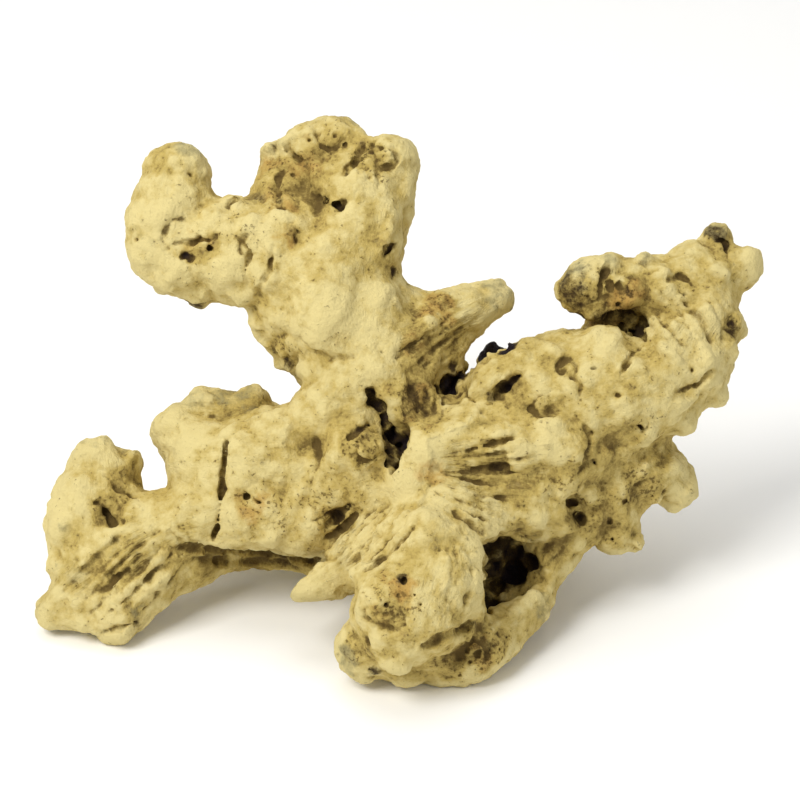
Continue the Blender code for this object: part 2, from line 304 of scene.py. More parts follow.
# (first guide, last guide, count, radius, rise, depth): fans of fibres laid side by side, with a furrow
# between neighbours; a guide is three places
FANS = [
    ([(15, -22), (36, -16), (58, -10)], [(13, -36), (28, -46), (44, -53)], 9, 1.5, 0.9, 1.8),
    ([(-104, -46), (-124, -62), (-143, -83)], [(-84, -60), (-102, -78), (-115, -90)], 9, 1.7, 1.0, 1.7),
    ([(-2, -36), (-20, -50), (-38, -74)], [(8, -44), (-4, -58), (-24, -74)], 6, 1.6, 0.9, 1.3),
    ([(2, 6), (2, -1), (4, -9)], [(15, 8), (16, 0), (15, -7)], 6, 1.2, 0.9, 2.0),
    ([(-6, 20), (10, 29), (26, 42)], [(10, 9), (19, 18), (33, 28)], 6, 1.7, 0.9, 1.1),
    ([(-24, -40), (-31, -46), (-38, -50)], [(-18, -44), (-24, -50), (-32, -56)], 4, 1.2, 0.8, 1.8),
    ([(98, 36), (108, 27), (116, 16)], [(118, 42), (124, 32), (128, 22)], 4, 2.0, 0.8, 1.0),
    ([(-96, -50), (-88, -57), (-92, -66)], [(-90, -48), (-80, -58), (-84, -68)], 4, 1.2, 0.8, 1.2),
    ([(14, -52), (20, -70), (12, -92)], [(27, -56), (29, -74), (22, -93)], 5, 2.0, 0.7, 0.9),
    ([(46, -53), (48, -60), (46, -69)], [(66, -57), (58, -65), (50, -73)], 5, 1.4, 0.8, 1.2),
]

# (across, up, radius of the ring, radius, depth): growth rings round knots and on the sawn end
RINGS = [
    (-5.4, -83.2, 3.0, 0.9, 1.0), (-5.4, -83.2, 6.4, 1.0, 1.1), (-5.4, -83.2, 9.6, 1.1, 1.2),
    (58.4, -2.4, 2.6, 0.9, 0.8), (58.4, -2.4, 5.0, 0.8, 1.0), (-65.4, 77.5, 3.4, 0.8, 1.2),
    (-60, 62, 4.2, 0.8, 1.0), (30, -101, 5.0, 0.9, 1.4), (67, 13, 3.4, 0.8, 1.1), (-88, 66, 7.0, 1.0, 1.2),
    (78, 45, 5.5, 0.9, 1.2), (-6, 97, 5.0, 0.8, 1.2), (-13, -20, 4.6, 0.8, 1.4), (96, -10, 3.6, 0.8, 1.0),
    (133, 30, 3.2, 0.8, 1.0), (-28, 105, 5.0, 0.8, 1.0),
]

# (places, radius, depth): cracks, slits and creases worn along the skin
GROOVES = [
    ([(-69.2, -15), (-70.4, -24), (-71.0, -34), (-71.6, -42)], 1.3, 3.4),
    ([(-71.2, -34), (-72.4, -46), (-74.6, -56)], 1.6, 4.4), ([(-80, -7), (-74, -6.5)], 0.7, 1.6),
    ([(-42, 25), (-36, 20), (-28, 17), (-18, 17)], 1.8, 1.2), ([(-94, 62), (-84, 63), (-73, 65)], 1.2, 2.0),
    ([(97.5, 22), (92, 17), (88, 10)], 1.2, 2.0), ([(110, 3), (118, 6), (126, 12)], 1.2, 1.8),
    ([(-14, 104), (-16, 98), (-22, 90)], 1.6, 2.6), ([(-12, 102), (-9, 92), (-8, 84)], 1.0, 1.2),
    ([(-92, -59), (-86, -60), (-70, -61), (-56, -61.5), (-46, -64), (-33, -64.5), (-24, -62)], 2.6, 5.0),
    ([(-84, -63.5), (-68, -65), (-52, -66), (-38, -68)], 2.6, 3.0),
    ([(8, -100), (18, -95), (30, -89)], 2.2, 3.4), ([(-58, 42), (-52, 52), (-50, 64)], 1.2, 1.6),
    ([(-66, 66), (-60, 60), (-62, 50)], 1.0, 1.6), ([(-76, 66), (-71, 66)], 1.0, 1.8),
    ([(-35, 82), (-28, 79)], 0.8, 1.4), ([(84, 57), (80, 48), (80, 40)], 1.2, 1.8),
    ([(73, -8), (76, -16), (75, -26), (70, -32)], 1.6, 2.2), ([(66, 12), (72, 6), (72, -2)], 1.2, 1.6),
    ([(-36, -36), (-33, -26), (-34, -14)], 1.2, 1.2), ([(-46, 104), (-44.5, 100), (-40, 95)], 1.6, 2.0),
    ([(-118, -30), (-112, -36), (-104, -40)], 1.6, 1.8), ([(106, 47), (112, 50), (120, 44)], 1.0, 1.4),
    ([(127, 64), (130.4, 62), (131, 57)], 1.6, 3.4), ([(-47, 92), (-50, 84), (-46, 78)], 1.4, 2.0),
    ([(-100, -86), (-110, -90), (-120, -94)], 1.2, 2.0), ([(27, -27.8), (35, -27), (46, -26.4)], 1.2, 2.4),
    ([(25, 5), (28, 0), (33, -2.4), (39, -0.5)], 1.2, 1.8),
]

# runs of (across, up, radius, depth): ragged hollows; a run of one place is a pit
HOLLOWS = [
    # the middle, the fork and the bead's slit
    [(-12, 3, 1.6, 5), (-10, 0, 2.6, 7), (-8.5, -4.5, 3.0, 8), (-7, -9, 3.0, 8), (-4, -13, 4.4, 8),
     (0, -18, 5.0, 8), (-2, -23, 3.6, 6), (-6, -25.5, 2.0, 4)], [(-17, -17, 0.9, 2)], [(-11, -20, 0.9, 2)],
    [(-14, -24.5, 0.8, 1.6)], [(-19.5, -22, 0.7, 1.5)], [(-15, -15, 0.7, 1.5)],
    [(-12, -10, 1.2, 4), (-18, -12.6, 1.1, 3), (-21, -16, 0.8, 2)],
    [(16, 3, 2.2, 5), (20, 6, 3.8, 9), (25, 10, 2.6, 8)],
    [(33, -1.5, 1.1, 2.5), (39, 2, 1.5, 4), (44, 6, 2.1, 5.5), (48, 10, 1.3, 3)],
    [(5, 4, 1.0, 3), (7, -2, 1.2, 3), (11, -6, 1.0, 3)], [(10, 5, 0.8, 2), (13, -1, 1.0, 2.4)],
    # the big hollow behind the front lobe
    [(40, -53.5, 1.2, 4), (46, -54, 1.6, 4), (53, -56, 1.2, 3)],
    # under the horn
    [(89, 30.5, 1.6, 3), (94, 28.5, 2.8, 6), (98, 24.5, 1.6, 4)], [(82, 33, 1.0, 2)], [(87, 38, 1.0, 2)],
    [(73, 37, 1.6, 2.4)], [(88, 46, 1.2, 2.6), (91, 44, 1.6, 3), (93, 41, 1.0, 2.4)],
    # trunk, crown and arm
    [(-26, 79, 1.2, 4), (-24.8, 77, 1.7, 5), (-22.5, 76.5, 1.1, 3)],
    [(-2.5, 63, 1.2, 4), (-4.5, 60, 2.0, 5), (-6, 57, 1.1, 3)], [(-2.5, 53, 1.0, 3), (-3, 49, 1.2, 3)],
    [(-45, 70, 1.3, 3), (-42.5, 67, 2.0, 4), (-41.5, 63, 1.3, 3)],
    [(-21, 94, 0.7, 2.4), (-21.5, 90, 0.9, 2.4)], [(-49, 80, 1.6, 3), (-47, 77, 1.2, 2.4)],
    [(-85.5, 58, 1.8, 3.4)], [(-80, 65, 1.1, 2)], [(-76, 60.5, 1.0, 3)], [(-84, 90, 1.2, 2)],
    [(-106, 64, 1.0, 2)], [(-57, 61, 1.0, 2.2)], [(-12, 99, 1.1, 2.6)], [(-15, 96, 1.0, 2.6)],
    [(-9, 96, 0.9, 2.0)], [(-13, 93, 0.9, 2)], [(-8, 101, 0.8, 1.8)], [(-16.5, 92, 0.9, 2.4)],
    [(-12, 89, 0.7, 1.6)], [(-3, 95, 0.6, 1.4)], [(-36, 104, 0.8, 1.8)], [(-32, 107, 0.7, 1.6)],
    [(-22, 102, 0.8, 1.8)], [(-40, 96, 0.9, 2)], [(-43, 90, 0.8, 1.8)], [(-11, 103, 0.8, 1.8)],
    [(-5, 93, 0.8, 1.6)], [(-26, 106, 1.0, 2)],
    # right arm
    [(96, -10.4, 1.4, 4)], [(87, 2, 0.8, 2)], [(66, 12, 1.2, 2.4)], [(76.8, -13, 1.1, 3)],
    [(78, -25, 1.3, 4)], [(83, -24, 1.0, 2.4)], [(45, -46, 1.0, 2)], [(90, -40, 1.0, 2.6)],
    [(84, -49, 0.9, 2)], [(85, -56, 1.1, 2.4)], [(67, -39, 1.6, 4), (71, -41, 1.8, 4)],
    [(71, -46, 1.2, 3), (73, -48, 1.6, 4)], [(132.8, 30.4, 2.0, 2.6)], [(117, 12, 0.8, 1.4)],
    [(58.4, -3, 0.9, 1.6)], [(101, -38, 0.9, 2)], [(106, -37, 1.0, 2)],
    [(36.8, -27.2, 1.2, 4), (43, -27, 1.4, 4)],
    # left lobe and foot
    [(-87.8, -25, 0.7, 2)], [(-60, -39, 1.5, 2.4), (-56, -41, 1.1, 2)],
    [(-30, -49, 1.2, 3), (-25, -46, 1.4, 3.4), (-20, -42, 0.9, 3)],
    [(-121, -38, 3.0, 1.4), (-117, -44, 4.0, 2.0), (-111, -49, 3.0, 1.6)],
    [(-104, -62, 0.9, 2), (-112, -70, 1.0, 2.4), (-120, -77, 0.8, 2)], [(-103, -87.5, 1.6, 3)],
    [(-85, -59, 1.6, 2.4)],
    # front lobe and toe
    [(-1, -70, 0.8, 3), (1.3, -71.4, 1.4, 4.4), (3, -74, 0.7, 3)],
    [(-13.5, -96, 0.8, 2.4), (-12, -98.5, 0.7, 2)], [(-12, -107.5, 1.8, 4)], [(8, -82, 0.8, 2)],
    [(-6, -82, 1.2, 2)], [(-3, -86, 0.9, 2)], [(-9, -78, 0.8, 1.6)], [(27, -100, 1.4, 2.8)],
    [(32, -102, 1.2, 2.4)], [(33, -96, 1.2, 2.4)], [(24, -104, 1.0, 2.4)], [(37, -98, 0.9, 2.2)],
    [(18, -104, 0.9, 2)], [(40, -100, 1.0, 2.2)], [(30, -109, 0.9, 2)], [(24, -110, 0.8, 1.8)],
    [(43, -95, 0.9, 2)], [(22, -98, 1.0, 2.2)], [(28, -105, 1.0, 2.2)], [(35, -104, 0.9, 2)],
    [(29, -95, 0.8, 2)], [(39, -94, 0.8, 2)], [(-10, -90, 0.9, 2)], [(2, -90, 0.8, 1.8)],
    [(6, -78, 0.8, 1.8)], [(-13, -83, 0.8, 1.6)],
]

# (across, up, radius, from, to): wells sunk straight back along the line of sight, from one depth to another
WELLS = [
    (36.5, -60, 5, 44, 10), (37, -67, 5.5, 48, 7), (37.5, -74, 5.5, 48, 7), (36.5, -80.5, 4, 48, 9),
    (35, -85, 2, 48, 14), (45, -61, 6, 24, 6), (46, -69, 6, 24, 4), (52, -65, 4.5, 20, 6),
    (41.5, -58, 5, 44, 8), (42, -65, 4.5, 44, 7), (47.5, -65, 3.4, 44, 7),
    # notches in the outline: beside the thorn, round the right crown and below the ledge; then the gap above
    # the bead
    (-47.8, 107, 3.0, 40, -60), (-11.2, 109.2, 4.6, 40, -60), (-4, 110, 3.6, 40, -60),
    (3, 109, 3.8, 40, -60), (-45.6, 7, 5, 40, -50), (28.8, 15, 2.6, 60, -80), (27.2, 11.6, 1.7, 60, -80),
    (26.3, 9.8, 1.1, 60, -80), (32.8, 17.6, 3.2, 60, -19), (37, 20.2, 3.2, 60, -19),
    (41.2, 22.4, 3.2, 60, -19), (45, 24.2, 2.8, 60, -19),
]

# (across, up, out, radius): wood that closes the back of the big hollow, the dark heartwood behind the bead,
# and small spurs on the outline
BACK_WOOD = [
    (37, -60, -7, 9), (38, -72, -6, 9), (47, -65, -8, 10), (48, -72, -8, 9), (56, -62, -9, 8),
    (37, -81, -2, 7), (63, -63, -7, 6), (36.4, 18.2, -26, 3.8), (39, 18.4, -26, 4.0), (41.8, 18, -27, 4.0),
    (36, 14, -26, 4.2), (-47.5, 14.6, -4, 2.4), (-44, 15.5, -4, 3), (-81.6, 38.6, -4, 1.6),
    (-81.8, 41, -4, 2.6), (-55.5, 27.5, -4, 2.4),
]


def along_skin(field, places):
    """Points of the skin under a run of (across, up) places, about two millimetres apart."""
    steps = []
    for (a0, u0), (a1, u1) in zip(places, places[1:]):
        count = max(int(math.hypot(a1 - a0, u1 - u0) / 2), 1)
        steps += [(a0 + (a1 - a0) * k / count, u0 + (u1 - u0) * k / count) for k in range(count)]
    steps.append(places[-1])
    return np.array([field.seen(across, up) for across, up in steps])


def between(first, last, part):
    """The guide that is part of the way from the first guide to the last."""
    return [(a + (c - a) * part, b + (d - b) * part) for (a, b), (c, d) in zip(first, last)]


def strayed(guide, rng):
    """A smooth run through a guide's three places, each moved a little, that starts and stops at random."""
    first, middle, last = [np.array(place) + rng.normal(0, 0.7, 2) for place in guide]
    steps = np.linspace(rng.uniform(0, 0.18), rng.uniform(0.8, 1), 10)
    return [
        tuple(first * (1 - t) * (1 - 2 * t) + middle * 4 * t * (1 - t) + last * t * (2 * t - 1))
        for t in steps
    ]


def ring_guide(across, up, radius, rng):
    """Places on an uneven ring that is left a little open."""
    return [
        (across + radius * rng.uniform(0.85, 1.15) * math.cos(turn),
         up + radius * rng.uniform(0.8, 1.1) * math.sin(turn))
        for turn in rng.uniform(0, math.tau) + np.linspace(0, 5.6, 12)
    ]


def fan_lines(field, rng):
    """Every fan's fibres as (skin points, radius, rise), and its furrows as (places, radius, depth)."""
    fibres = []
    furrows = []
    for first, last, count, radius, rise, depth in FANS:
        for k in range(count):
            part = (k + rng.uniform(-0.3, 0.3)) / (count - 1)
            line = along_skin(field, strayed(between(first, last, part), rng))
            fibres.append((line, radius * rng.uniform(0.7, 1.3), rise * rng.uniform(0.4, 1.4)))
            part = (k + 0.5 + rng.uniform(-0.2, 0.2)) / (count - 1)
            guide = strayed(between(first, last, part), rng)
            # a furrow thinner than a cell would break into dots
            width = max(radius * rng.uniform(0.4, 0.75), CELL)
            furrows.append((guide, width, depth * rng.uniform(0.4, 1.1)))
    return fibres, furrows


def raise_knobs(field, rough):
    """The knobs, all placed before the first one is raised."""
    middles = [field.seen(across, up) for across, up, *_ in KNOBS]
    for middle, (_, _, radius, rise, seam) in zip(middles, KNOBS):
        centre = middle + OUT * (rise - radius)
        field.stroke(centre, centre, (radius, radius), seam, True, rough, 0.35)


def lay_strand(field, line, radius, rise, rough):
    """A strand along a line of skin points, sinking into the skin at both ends."""
    taper = np.sin(np.linspace(0.35, math.pi - 0.35, len(line)))
    line = line + OUT * (rise - radius) * taper[:, None] - OUT * radius * 0.6 * (1 - taper[:, None])
    for k in range(len(line) - 1):
        field.stroke(line[k], line[k + 1], radius * taper[k:k + 2], 1.0, True, rough, 0.3)


def cut_groove(field, line, radius, depth, rough):
    """A groove along a line of skin points, running out at both ends."""
    taper = np.sqrt(np.sin(np.linspace(0.15, math.pi - 0.15, len(line))))
    line = line + OUT * (radius * 0.7 - depth * taper[:, None])
    for k in range(len(line) - 1):
        width = radius * taper[k]
        field.stroke(line[k], line[k + 1], (width, radius * taper[k + 1]), 0.6, False, rough, 0.35)
        field.stroke(line[k], line[k] + OUT * depth, (width * 0.8, width), 0.5, False, rough, 0.3)


def pit_run(run, rng):
    """A pit as a short run in a random direction; a longer run is left as it is."""
    if len(run) > 1:
        return run
    point, radius, depth = run[0]
    side = rng.uniform(-1, 1, 3) * radius * (0.55, 0.55, 0)
    return [
        (point - side, radius * 0.75, depth * 0.8), (point, radius * 0.8, depth),
        (point + side, radius * 0.55, depth * 0.7)]


def wear_hollow(field, run, rough, rng):
    """A ragged hollow through a run of (point of skin, radius, depth)."""
    run = pit_run(run, rng)
    for (p, r, d), (q, s, e) in zip(run, run[1:]):
        steps = max(math.ceil(float(np.linalg.norm(q - p)) / (0.7 * min(r, s))), 1)
        for part in np.arange(steps + 1) / steps:
            radius = (r + (s - r) * part) * rng.uniform(0.75, 1.2)
            depth = (d + (e - d) * part) * rng.uniform(0.8, 1.1)
            middle = p + (q - p) * part + rng.normal(0, 0.25, 3) * radius * (1, 1, 0)
            mouth = middle + OUT * radius * 0.5
            floor = middle + OUT * (radius * 0.7 - depth)
            field.stroke(mouth, floor, (radius, radius * 0.45), 0.8, False, rough, radius * 0.45)


def add_back_wood(field, rough):
    """The wood behind the hollow and the bead, and the spurs."""
    for across, up, out, radius in BACK_WOOD:
        centre = np.array([across, up, float(out)])
        field.stroke(centre, centre, (radius, radius), 3, True, rough, 0.8)


def sink_wells(field, rough):
    """The wells, a little narrower at their far ends."""
    for across, up, radius, first, last in WELLS:
        mouth = in_sight(across, up, first)
        field.stroke(mouth, in_sight(across, up, last), (radius, radius * 0.8), 1.5, False, rough, 0.5)


def work_field(field):
    """Knobs, strands, fans of fibres, grooves and hollows, with rough edges, worked into the field."""
    rough = field_noise(field.value.shape, ROUGH_GRAIN, SEED)
    rng = np.random.default_rng(SEED)
    raise_knobs(field, rough)
    strands = [(along_skin(field, places), radius, rise) for places, radius, rise in STRANDS]
    fibres, furrows = fan_lines(field, rng)
    rings = [(ring_guide(across, up, ring, rng), radius, depth) for across, up, ring, radius, depth in RINGS]
    for line, radius, rise in strands + fibres:
        lay_strand(field, line, radius, rise, rough)
    cuts = GROOVES + furrows + rings
    cuts = [(along_skin(field, places), radius, depth) for places, radius, depth in cuts]
    hollows = [[(field.seen(a, u), radius, depth) for a, u, radius, depth in run] for run in HOLLOWS]
    add_back_wood(field, rough)
    sink_wells(field, rough)
    for line, radius, depth in cuts:
        cut_groove(field, line, radius, depth, rough)
    for run in hollows:
        wear_hollow(field, run, rough, rng)


# ---------------------------------------------------------------- the run of the grain

# where the grain runs: stations (across, up, out) along each limb
GRAIN = {
    "trunk": [(-4, 97, 0), (-14, 76, 2), (-21, 52, 4), (-19, 26, 6), (-9, -2, 6), (0, -26, 8)],
    "crown": [(-26, 112, -8), (-33, 96, -6), (-34, 76, -2), (-30, 56, 0)],
    "neck": [(-28, 44, 2), (-48, 57, 0), (-70, 60, 0), (-90, 62, 0)],
    "knob": [(-88, 103, -2), (-91, 84, 0), (-92, 60, 0)],
    "finger": [(-6, 22, 2), (12, 28, -2), (27, 36, -6), (44, 46, -8)],
    "arm": [(0, -24, 6), (30, -12, 4), (56, -2, 4), (80, 2, 4), (97, 6, 2), (110, 15, 0), (118, 30, -2),
            (122, 46, -5), (134, 60, -7)],
    "horn": [(68, 48, 3), (90, 46, 2), (104, 46, 0), (120, 48, -4)],
    "bead": [(27, 0, 14), (38, 10, 16), (50, 18, 12)],
    "low_lobe": [(20, -30, 10), (60, -30, 4), (88, -28, -4), (114, -38, -10)],
    "low_knob": [(50, -38, 8), (78, -40, 0), (88, -58, -4)],
    "lobe": [(0, -28, 8), (-38, -30, 6), (-70, -28, 4), (-92, -26, 2)],
    "lobe_top": [(-30, -8, 2), (-60, -8, -2), (-88, -6, -4)],
    "foot": [(-56, -42, 6), (-90, -52, 5), (-112, -66, 6), (-142, -86, 6)],
    "foot_horn": [(-122, -16, 0), (-122, -40, 2), (-116, -60, 4), (-112, -92, 8)],
    "under_limb": [(-96, -66, -2), (-70, -57, -12), (-34, -58, -14), (0, -50, -6)],
    "front_foot": [(8, -28, 14), (16, -48, 26), (11, -66, 38), (0, -94, 50)],
    "spike": [(4, -52, 16), (-12, -61, 22), (-26, -70, 26), (-46, -78, 30)],
    "toe": [(70, -42, 6), (62, -60, 6), (52, -78, 12), (41, -90, 22), (27, -98, 32), (-4, -102, 40)],
    "back_root": [(2, -14, -8), (22, -10, -25), (32, -16, -52), (40, -24, -74), (43, -34, -94)],
    "spur": [(34, -14, -48), (60, -16, -62), (82, -20, -68)],
    "stub": [(-30, -20, -10), (-54, -24, -46), (-68, -28, -64)],
}

LIMB_GIRTH = 14  # what a turn of one radian round a limb counts as, in millimetres of grain
LIMB_STEP = 90.0  # how far apart the patterns of two limbs are taken from
SEAM_WIDTH = 3.0  # over about how many millimetres the grain fades towards the seam between two limbs

# fibres that spread to the right from one place near the middle
FAN_HUB = (-15, -25)  # (across, up)
FAN_REACH = (28, 74)  # how near the hub and how far from it they run
FAN_TURN = -0.12  # the way they point, in radians up from straight across
FAN_SPREAD = 0.45  # half the angle between the outermost
FAN_GIRTH = 42  # what a turn of one radian counts as, in millimetres of grain
FAN_RADIUS = 45  # how far out the spread's edge is measured
FAN_EDGE = 4  # how far in from the fan's edge the grain is at full strength


def limb_place(points, stations, number):
    """For each point: its place along and round one limb, and its distance from the limb's line."""
    line = np.array(stations, float)
    start = 0.0
    nearest = np.full(len(points), 1e9)
    here = np.zeros((len(points), 3))
    for a, b in zip(line, line[1:]):
        length = float(np.linalg.norm(b - a))
        run = (b - a) / length
        part = np.clip((points - a) @ run, 0, length)
        off = points - a - part[:, None] * run
        distance = np.linalg.norm(off, axis=1)
        closer = distance < nearest
        front = OUT - run * run[2]
        front = front / np.linalg.norm(front)
        turn = np.arctan2(off @ np.cross(run, front), off @ front)
        reach = start + part + number * LIMB_STEP
        spot = np.stack([reach, LIMB_GIRTH * np.cos(turn), LIMB_GIRTH * np.sin(turn)], axis=1)
        here[closer] = spot[closer]
        nearest[closer] = distance[closer]
        start += length
    return here, nearest


def grain_place(points):
    """For each point: its place along and round its nearest limb, and how clear it is of the next limb."""
    best = np.full(len(points), 1e9)
    second = np.full(len(points), 1e9)
    place = np.zeros((len(points), 3))
    for number, stations in enumerate(GRAIN.values()):
        here, nearest = limb_place(points, stations, number)
        closer = nearest < best
        second = np.where(closer, best, np.minimum(second, nearest))
        place[closer] = here[closer]
        best[closer] = nearest[closer]
    clear = np.clip((second - best) / SEAM_WIDTH - 0.15, 0, 1)
    spread_fan(points, place, clear)
    return place, clear


def spread_fan(points, place, clear):
    """Turn the grain of the points over the fan to run out from its hub."""
    off = points[:, :2] - np.array(FAN_HUB)
    reach = np.linalg.norm(off, axis=1)
    turn = np.arctan2(off[:, 1], off[:, 0])
    ends = np.minimum(reach - FAN_REACH[0], FAN_REACH[1] - reach)
    inside = np.minimum(ends, FAN_RADIUS * (FAN_SPREAD - abs(turn - FAN_TURN))) / FAN_EDGE
    fanned = (inside > 0) & (points[:, 2] > 5)
    place[fanned] = np.stack([reach, FAN_GIRTH * turn, 0 * turn], axis=1)[fanned]
    clear[fanned] = np.clip(inside[fanned], 0, 1)
